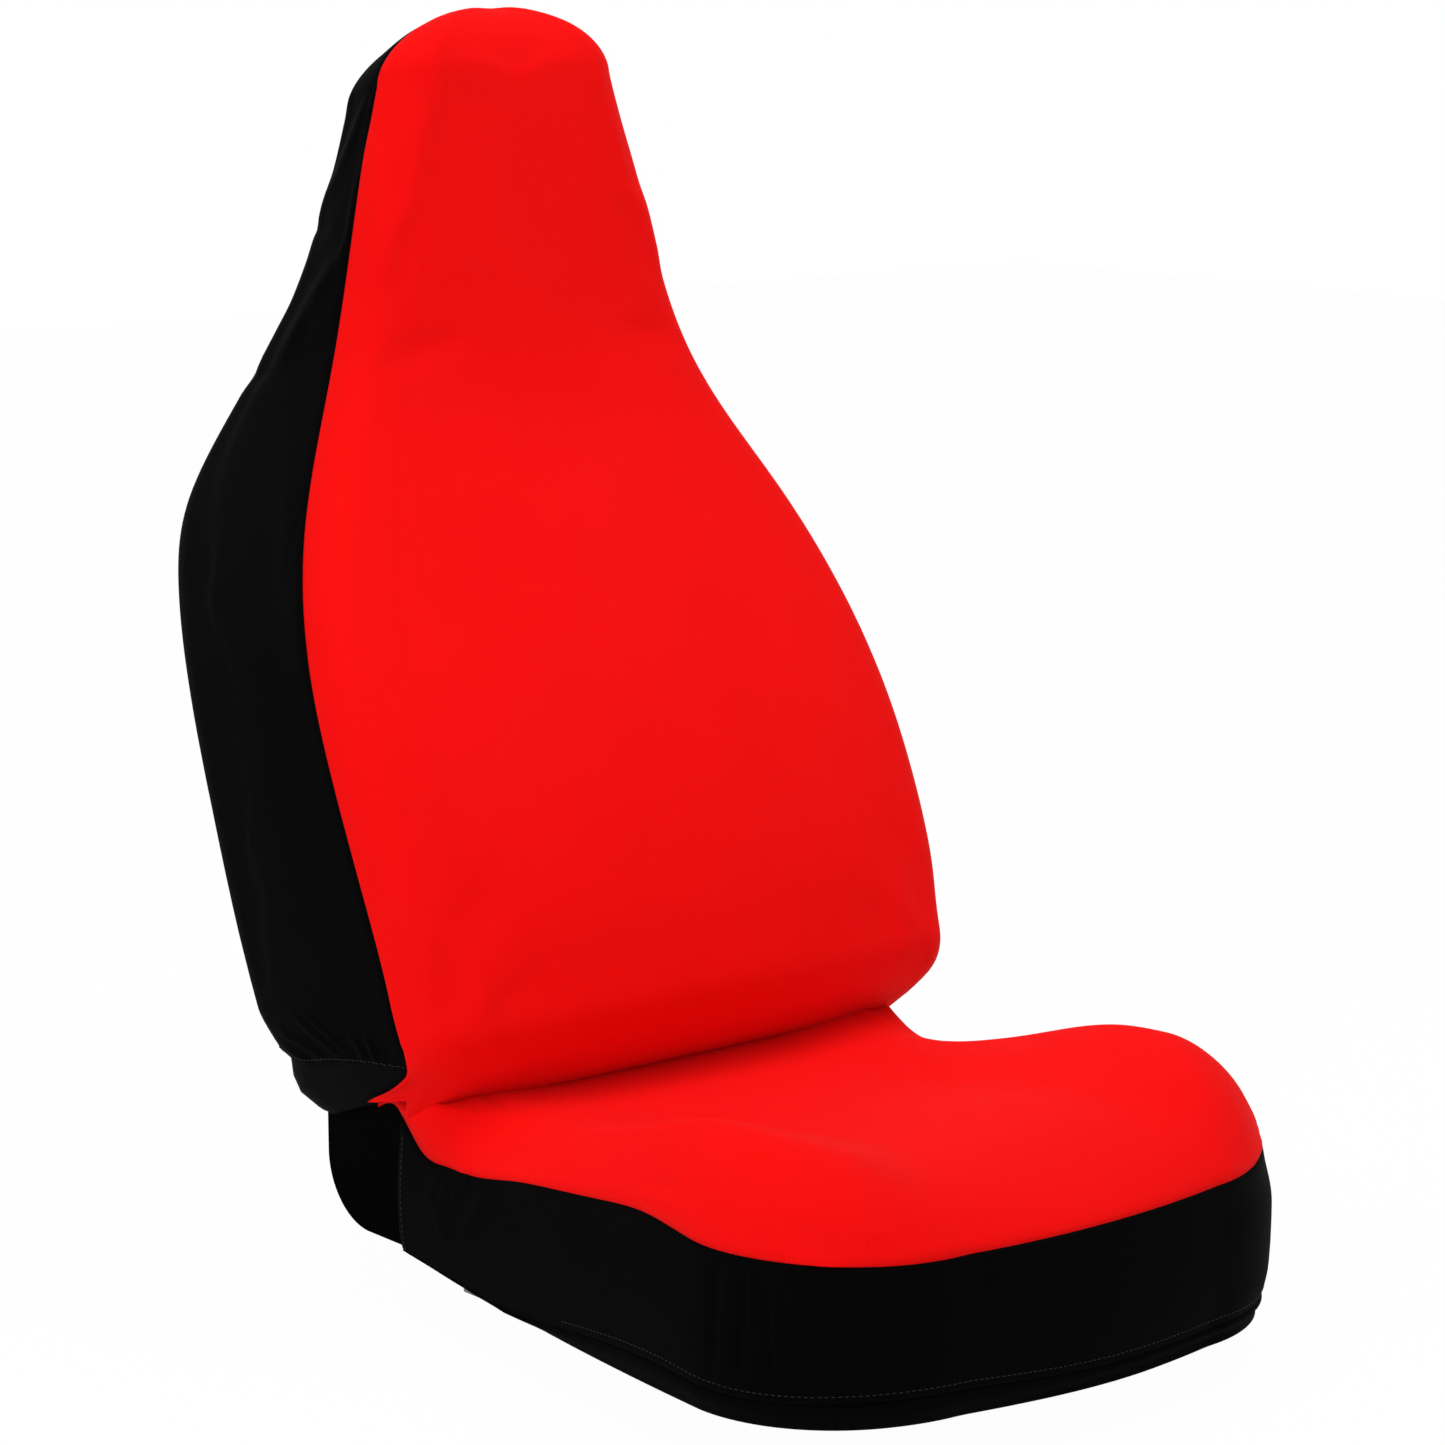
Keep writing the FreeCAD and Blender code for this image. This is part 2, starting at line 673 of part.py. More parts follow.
def cushion_straps():
    """Flat straps from the pan's rear hook to the cross tube, just above both."""
    body = new_body("cushion_straps")
    low_front = "pan_rear_up + seat_strap_sheet / 2"
    tube_top = "cross_tube_up + cross_tube_radius + seat_gap / 3"
    tail = "cross_tube_back + cross_tube_radius * 2 / 3"
    corners = (("-pan_rear - seat_strap_lap", low_front), (tail, tube_top),
               (tail, tube_top + " + seat_strap_sheet"),
               ("-pan_rear - seat_strap_lap", low_front + " + seat_strap_sheet"))
    sketch = new_sketch(body, "cushion_straps_side", "YZ_Plane",
                        "-1.5 * seat_strap_spacing - seat_strap_width / 2")
    add_outline(sketch, corners)
    strap = pad(body, sketch, "seat_strap_width")
    doc.recompute()
    pattern(body, strap, "PartDesign::LinearPattern", "X_Axis",
            {"Length": "seat_strap_spacing * 3", "Occurrences": "4"})


# Recliner

def recliner_ring(body, label, side):
    start = RING_FACE if side > 0 else "-" + MEMBER_INNER
    disc = new_sketch(body, label + "_disc", "YZ_Plane", start)
    add_circle(disc, "0", "0", "ring_radius")
    add_circle(disc, "0", "0", "shaft_radius + running_gap")
    pad(body, disc, "ring_thickness")
    recess_start = start if side > 0 else "-%s - ring_recess" % RING_FACE
    recess = new_sketch(body, label + "_recess", "YZ_Plane", recess_start)
    add_circle(recess, "0", "0", "ring_bore_radius")
    pocket(body, recess, "ring_recess")
    tooth = new_sketch(body, label + "_tooth", "YZ_Plane", recess_start)
    half = "ring_tooth_width / 2"
    add_outline(tooth, (("-" + half, "ring_bore_radius - 1"), (half, "ring_bore_radius - 1"),
                        ("0.3 * ring_tooth_width", "ring_bore_radius + ring_tooth_depth"),
                        ("-0.3 * ring_tooth_width", "ring_bore_radius + ring_tooth_depth")))
    cut = pocket(body, tooth, "ring_recess")
    doc.recompute()
    pattern(body, cut, "PartDesign::PolarPattern", "X_Axis",
            {"Angle": "360", "Occurrences": "ring_tooth_count"})


def recliner_plate(body, label, side):
    outer = "(%s - recliner_gap)" % RING_FACE
    lift = "%s - recliner_plate_thickness" % outer if side > 0 else "-" + outer
    sketch = new_sketch(body, label + "_disc", "YZ_Plane", lift)
    add_circle(sketch, "0", "0", "recliner_plate_radius")
    add_circle(sketch, "0", "0", "shaft_radius + running_gap")
    pad(body, sketch, "recliner_plate_thickness")


def recliner_pawls(body, label, side):
    thickness = "(ring_recess - 2 * recliner_gap)"
    low = "(%s - recliner_gap)" % RING_FACE
    lift = low if side > 0 else "-%s - %s - recliner_gap" % (low, thickness)
    sketch = new_sketch(body, label + "_outline", "YZ_Plane", lift)
    half = "pawl_width / 2"
    add_outline(sketch, (("-" + half, "pawl_inner"), (half, "pawl_inner"), (half, "pawl_outer - 2"),
                         ("1.5", "pawl_outer"), ("0", "pawl_outer - 1.5"), ("-1.5", "pawl_outer"),
                         ("-" + half, "pawl_outer - 2")))
    block = pad(body, sketch, thickness + " + recliner_gap")
    doc.recompute()
    pattern(body, block, "PartDesign::PolarPattern", "X_Axis", {"Angle": "360", "Occurrences": "3"})


def recliner_cam(body, label, side):
    thickness = "(ring_recess - 2 * recliner_gap)"
    low = "(%s + recliner_gap)" % RING_FACE
    lift = low if side > 0 else "-%s - %s" % (low, thickness)
    sketch = new_sketch(body, label + "_outline", "YZ_Plane", lift)
    rows = []
    for corner in range(6):
        reach = "cam_radius" if corner % 2 == 0 else "(cam_radius - 1.5)"
        angle = "%d deg" % (60 * corner)
        rows.append(("%s * cos(%s)" % (reach, angle), "%s * sin(%s)" % (reach, angle)))
    add_outline(sketch, rows)
    add_circle(sketch, "0", "0", "shaft_radius")
    pad(body, sketch, thickness)


def recliner_shaft():
    body = new_body("recliner_shaft")
    far_end = "(plan_half_front - shaft_far_inset)"
    sketch = new_sketch(body, "recliner_shaft_circle", "YZ_Plane", "-" + far_end)
    add_circle(sketch, "0", "0", "shaft_radius")
    pad(body, sketch, "%s + %s + lever_thickness" % (far_end, LEVER_INNER))
    place_at_pivot(body)


def recliner_lever():
    body = new_body("recliner_lever")
    hub_start = "(%s + shield_gap / 2)" % SHIELD_OUTER
    hub = new_sketch(body, "recliner_lever_hub", "YZ_Plane", hub_start)
    add_circle(hub, "0", "0", "lever_hub_radius")
    add_circle(hub, "0", "0", "shaft_radius")
    pad(body, hub, "%s + lever_thickness - %s" % (LEVER_INNER, hub_start))
    arm = new_sketch(body, "recliner_lever_arm", "YZ_Plane", LEVER_INNER)
    root = "-shaft_radius - 2"
    tip = "-lever_length"
    half = "lever_width / 2"
    bend = "lever_bend_radius"
    add_outline(arm, ((root, half, bend, 1), (tip, half + " + lever_rise", half, 1),
                      (tip, "1.5 * lever_rise - " + half, bend, -1), (root, "-" + half)))
    pad(body, arm, "lever_thickness")
    place_at_pivot(body)


# Rear housing

SHIELD_FRONT = "(cushion_back + shield_gap)"


def arc_height(place, radius):
    """Height of the circle round the hinge at a place along Y."""
    return "pivot_up + sqrt(%s ^ 2 - (%s - pivot_back) ^ 2)" % (radius, place)


def housing_outline(inset):
    """Outline of the side shields, moved in by the given amount."""
    radius = "(housing_radius - %s)" % inset
    back = "(%s - %s)" % (HOUSING_BACK, inset)
    corner = "(housing_corner - %s)" % inset
    bottom = "(housing_bottom + %s)" % inset
    front = "(%s + 0.6 * %s)" % (HOUSING_FRONT, inset)
    lower_front = "(%s + %s)" % (SHIELD_FRONT, inset)
    return ((lower_front, bottom), ("%s - housing_corner" % HOUSING_BACK, bottom, corner, 1),
            (back, "housing_bottom + housing_corner"), (back, arc_height(back, radius), radius, 1),
            (front, arc_height(front, radius)),
            (lower_front, "housing_bottom + shield_front_height - " + inset))


def side_shield(label, side):
    body = new_body(label)
    base = "(%s + member_wall + seat_gap)" % MEMBER_INNER
    depth = "(%s - %s)" % (SHIELD_OUTER, base)
    plate_along_x(body, label + "_outline", housing_outline("0"), base, depth, side)
    inside = new_sketch(body, label + "_inside", "YZ_Plane",
                        base if side > 0 else "-%s + housing_wall" % SHIELD_OUTER)
    add_outline(inside, housing_outline("housing_wall"))
    pocket(body, inside, depth + " - housing_wall")
    if side > 0:
        hole = new_sketch(body, label + "_hole", "YZ_Plane", "%s - housing_wall" % SHIELD_OUTER)
        add_circle(hole, "pivot_back", "pivot_up", "shaft_radius + 1")
        pocket(body, hole, "housing_wall")


def rear_trim_panel():
    body = new_body("rear_trim_panel")
    inner = "(housing_radius - housing_wall)"
    inner_back = "(%s - housing_wall)" % HOUSING_BACK
    corner_start = "%s - housing_corner" % HOUSING_BACK
    front_inner = "(%s + 0.65 * housing_wall)" % HOUSING_FRONT
    low_front = "(%s + shield_gap)" % HOUSING_FRONT
    corners = ((low_front, "housing_bottom"), (corner_start, "housing_bottom", "housing_corner", 1),
               (HOUSING_BACK, "housing_bottom + housing_corner"),
               (HOUSING_BACK, arc_height(HOUSING_BACK, "housing_radius"), "housing_radius", 1),
               (HOUSING_FRONT, arc_height(HOUSING_FRONT, "housing_radius")),
               (front_inner, arc_height(front_inner, inner), inner, -1),
               (inner_back, arc_height(inner_back, inner)),
               (inner_back, "housing_bottom + housing_corner", "housing_corner - housing_wall", -1),
               (corner_start, "housing_bottom + housing_wall"),
               (low_front, "housing_bottom + housing_wall"))
    half = "(plan_half_front - trim_inset)"
    sketch = new_sketch(body, "rear_trim_panel_section", "YZ_Plane", "-" + half)
    add_outline(sketch, corners)
    pad(body, sketch, "2 * " + half)


# Cushion and its cover

def plan_face(inset, back):
    """Plan of the cushion, moved in by the inset and cut square at the back."""
    corner = size("plan_corner") - inset
    start = -size("plan_corner_start")
    wide = size("plan_half_front") - inset
    slope = size("plan_taper") / (size("plan_back") - start)
    rear = wide - slope * (back - start)
    turn = wide - corner
    front = start - corner
    vector = FreeCAD.Vector
    diagonal = corner * math.sqrt(0.5)
    edges = [Part.LineSegment(vector(-rear, back, 0), vector(-wide, start, 0)).toShape(),
             Part.Arc(vector(-wide, start, 0), vector(-turn - diagonal, start - diagonal, 0),
                      vector(-turn, front, 0)).toShape(),
             Part.Arc(vector(-turn, front, 0), vector(0, front - size("plan_front_bulge"), 0),
                      vector(turn, front, 0)).toShape(),
             Part.Arc(vector(turn, front, 0), vector(turn + diagonal, start - diagonal, 0),
                      vector(wide, start, 0)).toShape(),
             Part.LineSegment(vector(wide, start, 0), vector(rear, back, 0)).toShape(),
             Part.LineSegment(vector(rear, back, 0), vector(-rear, back, 0)).toShape()]
    return Part.Face(Part.Wire(edges))


def plan_prism(inset, back, low, high):
    face = plan_face(inset, back)
    face.translate(FreeCAD.Vector(0, 0, low))
    return face.extrude(FreeCAD.Vector(0, 0, high - low))


def outer_half():
    """Half width of the cutting blocks, beyond every piece."""
    return 1.25 * size("plan_half_front")


def side_prism(points):
    """Solid between two outlines in Y and Z, wider than the seat."""
    face = flat_face([FreeCAD.Vector(-outer_half(), along, up) for along, up in points])
    return face.extrude(FreeCAD.Vector(2 * outer_half(), 0, 0))


def named_rows(first, second, count):
    return [(size("%s_%d" % (first, number)), size("%s_%d" % (second, number)))
            for number in range(count)]


def flat_face(points):
    return Part.Face(Part.makePolygon(list(points) + [points[0]]))


def flat_loft(rows):
    """Solid through closed rows of points, with two flat triangles for each step along a row."""
    faces = [flat_face(rows[0]), flat_face(rows[-1])]
    for first, second in zip(rows, rows[1:]):
        for step in range(len(first)):
            low, low_next = first[step - 1], first[step]
            high, high_next = second[step - 1], second[step]
            if low.distanceToPoint(high_next) < high.distanceToPoint(low_next):
                triangles = ((low, low_next, high_next), (low, high_next, high))
            else:
                triangles = ((low, low_next, high), (low_next, high_next, high))
            faces += [flat_face(corners) for corners in triangles]
    solid = Part.Solid(Part.Shell(faces))
    if solid.Volume < 0:
        solid.reverse()
    return solid


def cushion_section(number, inset, steps):
    """Points of a section across the cushion, with each bolster's outer side in straight steps."""
    along = size("cushion_along_%d" % number)
    crest = size("cushion_crest_%d" % number) - inset
    middle = size("cushion_middle_%d" % number) - inset
    half = size("plan_half_front") - size("crest_inset")
    well = size("well_half")
    share = size("well_share")
    outer = size("plan_half_front") + size("bolster_outset") - inset
    base = size("pad_bottom") - size("cushion_below_pad")
    mid_share = size("bolster_mid_share")
    low = max(crest - size("bolster_drop"), base + size("bolster_base_gap"))

    def at(across, up):
        return FreeCAD.Vector(across, along, up)

    rise = size("well_rise_share")
    middle_out = (1 - mid_share) * half + mid_share * outer - size("bolster_mid_in")
    roll = Part.Arc(at(half, crest), at(middle_out, crest - size("bolster_mid_drop")), at(outer, low))
    points = [at(outer, base)] + list(reversed(roll.toShape().discretize(Number=steps + 1)))
    points += [at(share * half + (1 - share) * well, middle + rise * (crest - middle)),
               at(well, middle)]
    return points + [FreeCAD.Vector(-point.x, along, point.z) for point in reversed(points)]


def cushion_block(inset, steps):
    """Crowned cushion with two bolsters, cut to its plan."""
    rows = [cushion_section(number, inset, steps) for number in range(len(CUSHION_SECTIONS))]
    return flat_loft(rows).common(plan_prism(inset, size("cushion_back"), 0, 2 * outer_half()))


def skirt_band(outer_inset, inner_inset, top_rows, bottom_rows):
    """Wall that follows the plan, between two edges given in Y and Z."""
    back = size("plan_back")
    high = 2 * outer_half()
    core = plan_prism(inner_inset, back + CUT_MARGIN, -CUT_MARGIN, high + CUT_MARGIN)
    band = plan_prism(outer_inset, back, 0, high).cut(core)
    return band.common(side_prism(top_rows + list(reversed(bottom_rows))))


def seam_rows():
    return named_rows("seam_along", "seam_up", len(SEAT_SEAM))


def edge_rows(lift):
    rows = named_rows("edge_along", "edge_up", len(SKIRT_EDGE))
    return [(along, up + size("skirt_hem_up") + lift) for along, up in rows]


def cushion_pieces():
    cover = size("cover_thickness")
    outer = cushion_block(0, 4)
    inner = cushion_block(cover, 2)
    seam = seam_rows()
    high = 2 * outer_half()
    above = side_prism(seam + [(seam[-1][0], high), (seam[0][0], high)])
    new_feature("seat_cover_top", outer.cut(inner).common(above))
    hem = size("hem_height")
    new_feature("seat_cover_skirt", skirt_band(0, cover, seam, edge_rows(hem)))
    proud = size("hem_proud")
    new_feature("seat_cover_hem", skirt_band(-proud, cover, edge_rows(hem), edge_rows(0)))
    new_feature("cushion_pad", cushion_foam(inner, cover, edge_rows(hem)))


def cushion_foam(inner, cover, skirt_rows):
    """Foam block with an apron of foam behind the skirt."""
    base = size("pad_bottom")
    front, back = seam_rows()[-1][0], seam_rows()[0][0]
    apron_end = size("pad_apron_end")
    hollow = plan_prism(cover + size("pad_apron"), back + cover, 0, base)
    below = side_prism([(back, 0), (front, 0)] + list(reversed(skirt_rows)))
    tail = Part.makeBox(2 * outer_half(), back - apron_end + cover, base,
                        FreeCAD.Vector(-outer_half(), apron_end, 0))
    wall = plan_prism(cover, apron_end, 0, base + cover).cut(hollow).cut(below)
    foam = inner.cut(hollow).cut(tail)
    return foam.fuse(wall).removeSplitter()


# Backrest frame, drawn upright with the hinge at the origin and the rear at +Y

BACK_MEMBER_FRONT = "(back_foam_plane + seat_gap)"


def back_side_member(label, side):
    body = new_body(label)
    ring = "recliner_plate_radius"
    front = BACK_MEMBER_FRONT
    rear = "(%s + back_member_depth)" % front
    start = (ring + " * cos(160 deg)", ring + " * sin(160 deg)", ring, 1)
    end = (ring + " * cos(30 deg)", "-%s * sin(30 deg)" % ring)
    outline = (start, end, (rear, "back_member_bend_up"), (rear, "back_member_height"),
               (front, "back_member_height"), (front, "back_member_bend_up"))
    plate_along_x(body, label + "_web", outline, BACK_MEMBER_INNER, "member_wall", side)
    lift = BACK_MEMBER_INNER if side > 0 else "-%s - member_wall" % BACK_MEMBER_INNER
    holes = new_sketch(body, label + "_holes", "YZ_Plane", lift)
    for step in (0, 1):
        add_circle(holes, front + " + back_member_depth / 2",
                   "back_member_hole_first + %d * back_member_hole_spacing" % step,
                   "back_member_hole_radius")
    add_circle(holes, "0", "0", "shaft_radius + running_gap")
    pocket(body, holes, "member_wall")
    tilt_back(body)


def back_lower_channel():
    body = new_body("back_lower_channel")
    wall = "back_channel_wall"
    front = "(%s + back_channel_inset)" % BACK_MEMBER_FRONT
    rear = "(%s + back_channel_depth)" % front
    low = "back_channel_up"
    high = "(back_channel_up + back_channel_height)"
    corners = ((front, low), (rear, low), (rear, "%s + %s" % (low, wall)),
               ("%s + %s" % (front, wall), "%s + %s" % (low, wall)),
               ("%s + %s" % (front, wall), "%s - %s" % (high, wall)),
               (rear, "%s - %s" % (high, wall)), (rear, high), (front, high))
    sketch = new_sketch(body, "back_lower_channel_section", "YZ_Plane", "-" + BACK_MEMBER_INNER)
    add_outline(sketch, corners)
    pad(body, sketch, "2 * " + BACK_MEMBER_INNER)
    tilt_back(body)


def back_straps():
    body = new_body("back_straps")
    front = BACK_MEMBER_FRONT
    sketch = new_sketch(body, "back_straps_section", "YZ_Plane", "-" + BACK_MEMBER_INNER)
    low = "back_strap_first_up - back_strap_width / 2"
    add_box(sketch, front, low, front + " + back_strap_sheet", low + " + back_strap_width")
    strap = pad(body, sketch, "2 * " + BACK_MEMBER_INNER)
    doc.recompute()
    pattern(body, strap, "PartDesign::LinearPattern", "Z_Axis",
            {"Length": "back_strap_spacing * 2", "Occurrences": "3"})
    tilt_back(body)


def shoulder_arch():
    body = new_body("shoulder_arch")
    half = "(%s - seat_gap)" % BACK_MEMBER_INNER
    rows = ((half, "arch_start_up"), (half, "arch_bend_up"), ("arch_top_half", "arch_top_up"))
    inner = (("arch_top_half - arch_width / 2", "arch_top_up - arch_width"),
             (half + " - arch_width", "arch_bend_up - arch_width / 3"),
             (half + " - arch_width", "arch_start_up"))
    corners = list(rows) + [("-" + across, up) for across, up in reversed(rows)]
    corners += [("-(%s)" % across, up) for across, up in reversed(inner)]
    corners += list(inner)
    sketch = new_sketch(body, "shoulder_arch_outline", "XZ_Plane", "-arch_depth - arch_wall")
    add_outline(sketch, corners)
    pad(body, sketch, "arch_wall")
    tilt_back(body)


def head_frame():
    body = new_body("head_frame")
    low = "arch_top_up + seat_gap"
    rear = "arch_depth + arch_wall"
    corners = ((rear, low), (rear + " - head_plate_foot", low + " + head_plate_foot"),
               ("-head_plate_top_depth + head_plate_wall", "head_plate_top_up"),
               ("-head_plate_top_depth", "head_plate_top_up"),
               ("arch_depth + head_plate_foot / 3", low))
    sketch = new_sketch(body, "head_frame_section", "YZ_Plane", "-head_plate_half")
    add_outline(sketch, corners)
    pad(body, sketch, "2 * head_plate_half")
    window = new_sketch(body, "head_frame_window", "XZ_Plane", "-head_cut_reach")
    add_box(window, "-head_window_half", "arch_top_up + head_window_low",
            "head_window_half", "head_plate_top_up - head_window_high")
    pocket(body, window, "2 * head_cut_reach")
    tilt_back(body)


# Backrest foam and cover

def quarter(steps):
    """Angles of a quarter turn in equal steps."""
    return [math.pi / 2 * step / steps for step in range(steps + 1)]


def section_sizes(number, inset):
    names = ("back_up", "back_half", "back_seam", "back_rear", "back_flare")
    up, half, seam, rear, flare = [size("%s_%d" % (name, number)) for name in names]
    return up, half - inset, seam, rear + inset, flare


def mirrored(up, half_outline):
    """Points of a run that starts on the right, crosses the middle and ends on the left."""
    rows = half_outline + [(-across, depth) for across, depth in reversed(half_outline) if across]
    return [FreeCAD.Vector(across, -depth, up) for across, depth in rows]


def front_run(number, inset, steps):
    """Front of a section from the right seam, over the crown, to the left seam."""
    up, half, seam, rear, flare = section_sizes(number, inset)
    corner = size("back_front_corner") - inset
    flat = half - corner
    crown = flat ** 2 / (2 * size("back_crown_radius"))
    turn = [(flat + corner * math.cos(angle), seam + corner * math.sin(angle))
            for angle in quarter(steps)]
    top = [(flat * share, seam + corner + crown * (1 - share ** 2)) for share in (0.5, 0)]
    return mirrored(up, turn + top)


def rear_run(number, inset, steps):
    """Sides and rear of a section from the right seam to the left seam."""
    up, half, seam, rear, flare = section_sizes(number, inset)
    corner = min(size("back_rear_corner") - inset, seam - rear - 2 * size("cover_thickness"))
    side = half + flare
    turn = [(side - corner + corner * math.cos(angle), rear + corner - corner * math.sin(angle))
            for angle in quarter(steps)]
    return mirrored(up, [(half, seam)] + turn)


def closed_band(forward, backward):
    return forward + list(reversed(backward))


def closed_section(number, inset, steps):
    """Whole section, with the seam points at both sides used once."""
    return closed_band(front_run(number, inset, steps), rear_run(number, inset, steps)[1:-1])


def back_clearance():
    radius = size("back_clear_radius")
    return Part.makeCylinder(radius, 2 * outer_half(), FreeCAD.Vector(-outer_half(), 0, 0),
                             FreeCAD.Vector(1, 0, 0))


def foam_hollow():
    """Open space at the rear of the foam that follows the side members and the arch."""
    member = value_of(BACK_MEMBER_INNER)
    side = member + size("foam_hollow_side")
    clear = size("arch_clearance")
    rows = ((side, size("foam_hollow_low")), (side, size("back_member_height")),
            (member + clear, size("arch_bend_up")),
            (size("arch_top_half") + clear, size("arch_top_up") + size("foam_hollow_top")))
    plane = size("back_foam_plane")
    points = [FreeCAD.Vector(half, plane, up) for half, up in rows]
    points += [FreeCAD.Vector(-half, plane, up) for half, up in reversed(rows)]
    return flat_face(points).extrude(FreeCAD.Vector(0, size("foam_hollow_depth"), 0))


def head_slot():
    """Slanted slot in the headrest foam for the rod frame."""
    thick = size("head_slot_thickness") / 2
    low = size("arch_top_up") - size("head_slot_below")
    high = size("head_plate_top_up") + size("head_slot_above")
    depth = size("arch_depth") + size("arch_wall") / 2
    lean = (depth + size("head_plate_top_depth")) / (size("head_plate_top_up") - size("arch_top_up"))
    top_depth = depth - lean * (high - size("arch_top_up"))
    half = size("head_slot_half")
    points = [FreeCAD.Vector(-half, depth - thick, low),
              FreeCAD.Vector(-half, depth + thick + size("head_slot_rear"), low),
              FreeCAD.Vector(-half, top_depth + thick, high),
              FreeCAD.Vector(-half, top_depth - thick, high)]
    return flat_face(points).extrude(FreeCAD.Vector(2 * half, 0, 0))


def backrest_pieces():
    cover = size("cover_thickness")
    count = len(BACK_SECTIONS)
    clearance = back_clearance()
    front = [closed_band(front_run(n, 0, 3), front_run(n, cover, 2)) for n in range(count)]
    sides = [closed_band(rear_run(n, 0, 3), rear_run(n, cover, 2))
             for n in range(SIDE_COVER_START, count)]
    core = [closed_section(n, cover, 2) for n in range(count)]
    tilt_back(new_feature("back_cover_front", flat_loft(front).cut(clearance)))
    cap = flat_face(closed_section(count - 1, 0, 3)).extrude(FreeCAD.Vector(0, 0, cover))
    tilt_back(new_feature("back_cover_sides", flat_loft(sides).fuse(cap).removeSplitter()))
    foam = flat_loft(core).cut(clearance).cut(foam_hollow()).cut(head_slot())
    tilt_back(new_feature("backrest_pad", foam))


def recliner_group(label, maker, placer):
    body = new_body(label)
    for name, side in SIDES:
        maker(body, label + "_" + name, side)
    placer(body)


def build():
    fill_sheet()
    floor_feet(-1, "front_feet")
    floor_feet(1, "rear_feet")
    for name, side in SIDES:
        lower_rail("lower_rail_" + name, side)
        upper_rail("upper_rail_" + name, side)
        slide_cage("slide_cage_" + name, side)
        slide_rollers("slide_rollers_" + name, side)
        lock_plate("lock_plate_" + name, side)
        cushion_side_member("cushion_side_member_" + name, side)
        side_shield("side_shield_" + name, side)
        back_side_member("back_side_member_" + name, side)
    release_bar()
    release_pins()
    recliner_group("recliner_rings", recliner_ring, place_at_pivot)
    recliner_group("recliner_plates", recliner_plate, tilt_back)
    recliner_group("recliner_pawls", recliner_pawls, tilt_back)
    recliner_group("recliner_cams", recliner_cam, place_at_pivot)
    recliner_shaft()
    recliner_lever()
    cushion_pan()
    rear_cross_tube()
    cushion_straps()
    rear_trim_panel()
    cushion_pieces()
    back_lower_channel()
    back_straps()
    shoulder_arch()
    head_frame()
    backrest_pieces()
    doc.recompute()


def check_and_write():
    for item in doc.Objects:
        if "Invalid" in item.State or "Error" in item.State:
            raise RuntimeError("%s failed: %s" % (item.Label, item.State))
    for item in parts:
        if item.Shape.isNull() or not item.Shape.isValid() or not item.Shape.Solids:
            raise RuntimeError("%s has no valid solid" % item.Label)
    os.makedirs("parts", exist_ok=True)
    for item in parts:
        item.Shape.exportStep(os.path.join("parts", item.Label + ".step"))
        box = item.Shape.BoundBox
        print("%-28s %d %9.1f cm3  X %.0f..%.0f Y %.0f..%.0f Z %.0f..%.0f" % (
            item.Label, len(item.Shape.Solids), item.Shape.Volume / 1000, box.XMin, box.XMax,
            box.YMin, box.YMax, box.ZMin, box.ZMax))


build()
check_and_write()
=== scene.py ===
import json
import math

import bpy
import numpy as np
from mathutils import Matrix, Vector


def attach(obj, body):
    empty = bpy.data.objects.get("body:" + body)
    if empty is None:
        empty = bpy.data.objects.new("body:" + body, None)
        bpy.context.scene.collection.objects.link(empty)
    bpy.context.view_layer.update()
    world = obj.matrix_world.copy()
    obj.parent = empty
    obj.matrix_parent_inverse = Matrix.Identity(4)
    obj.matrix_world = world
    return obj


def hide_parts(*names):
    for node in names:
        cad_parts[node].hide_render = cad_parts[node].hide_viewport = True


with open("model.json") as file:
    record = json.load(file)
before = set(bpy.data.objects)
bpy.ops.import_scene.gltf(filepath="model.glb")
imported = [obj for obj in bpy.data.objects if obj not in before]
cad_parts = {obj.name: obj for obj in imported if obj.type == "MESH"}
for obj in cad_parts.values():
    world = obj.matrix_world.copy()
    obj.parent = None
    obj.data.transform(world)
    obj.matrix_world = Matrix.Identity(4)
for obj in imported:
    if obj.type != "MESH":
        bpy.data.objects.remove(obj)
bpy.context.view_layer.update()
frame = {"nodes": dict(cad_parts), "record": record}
scene = bpy.context.scene

# All shapes are worked out in millimetres, in the seat's own frame, and scaled at the end.
MM = 0.001
# The hinge between cushion and backrest, and the backrest's angle in the rest pose.
PIVOT_BACK, PIVOT_UP = 186.0, 88.0
RECLINE = math.radians(20)
# Radius about the hinge that the backrest's pieces stay outside, and the cushion's just inside.
CLEAR_RADIUS = 92.0


# Shapes shared by the pieces


def spline(knots, values):
    """Natural cubic curve through the given points, as a function of an array."""
    x, y = np.array(knots, float), np.array(values, float)
    gap = np.diff(x)
    count = len(x)
    matrix, right = np.eye(count), np.zeros(count)
    for i in range(1, count - 1):
        matrix[i, i - 1:i + 2] = gap[i - 1], 2 * (gap[i - 1] + gap[i]), gap[i]
        right[i] = 6 * ((y[i + 1] - y[i]) / gap[i] - (y[i] - y[i - 1]) / gap[i - 1])
    bend = np.linalg.solve(matrix, right)

    def at(place):
        p = np.clip(np.asarray(place, float), x[0], x[-1])
        k = np.clip(np.searchsorted(x, p) - 1, 0, count - 2)
        h, a, b = gap[k], x[k + 1] - p, p - x[k]
        return ((bend[k] * a ** 3 + bend[k + 1] * b ** 3) / (6 * h)
                + (y[k] / h - bend[k] * h / 6) * a + (y[k + 1] / h - bend[k + 1] * h / 6) * b)

    return at


def smooth_step(value, low, high):
    t = np.clip((np.asarray(value, float) - low) / (high - low), 0, 1)
    return t * t * (3 - 2 * t)


def grid_faces(rows, columns, start=0):
    """Quads of a grid of rows by columns vertices."""
    first = start + (np.arange(rows - 1)[:, None] * columns + np.arange(columns - 1)[None, :]).ravel()
    return np.stack([first, first + columns, first + columns + 1, first + 1], 1)


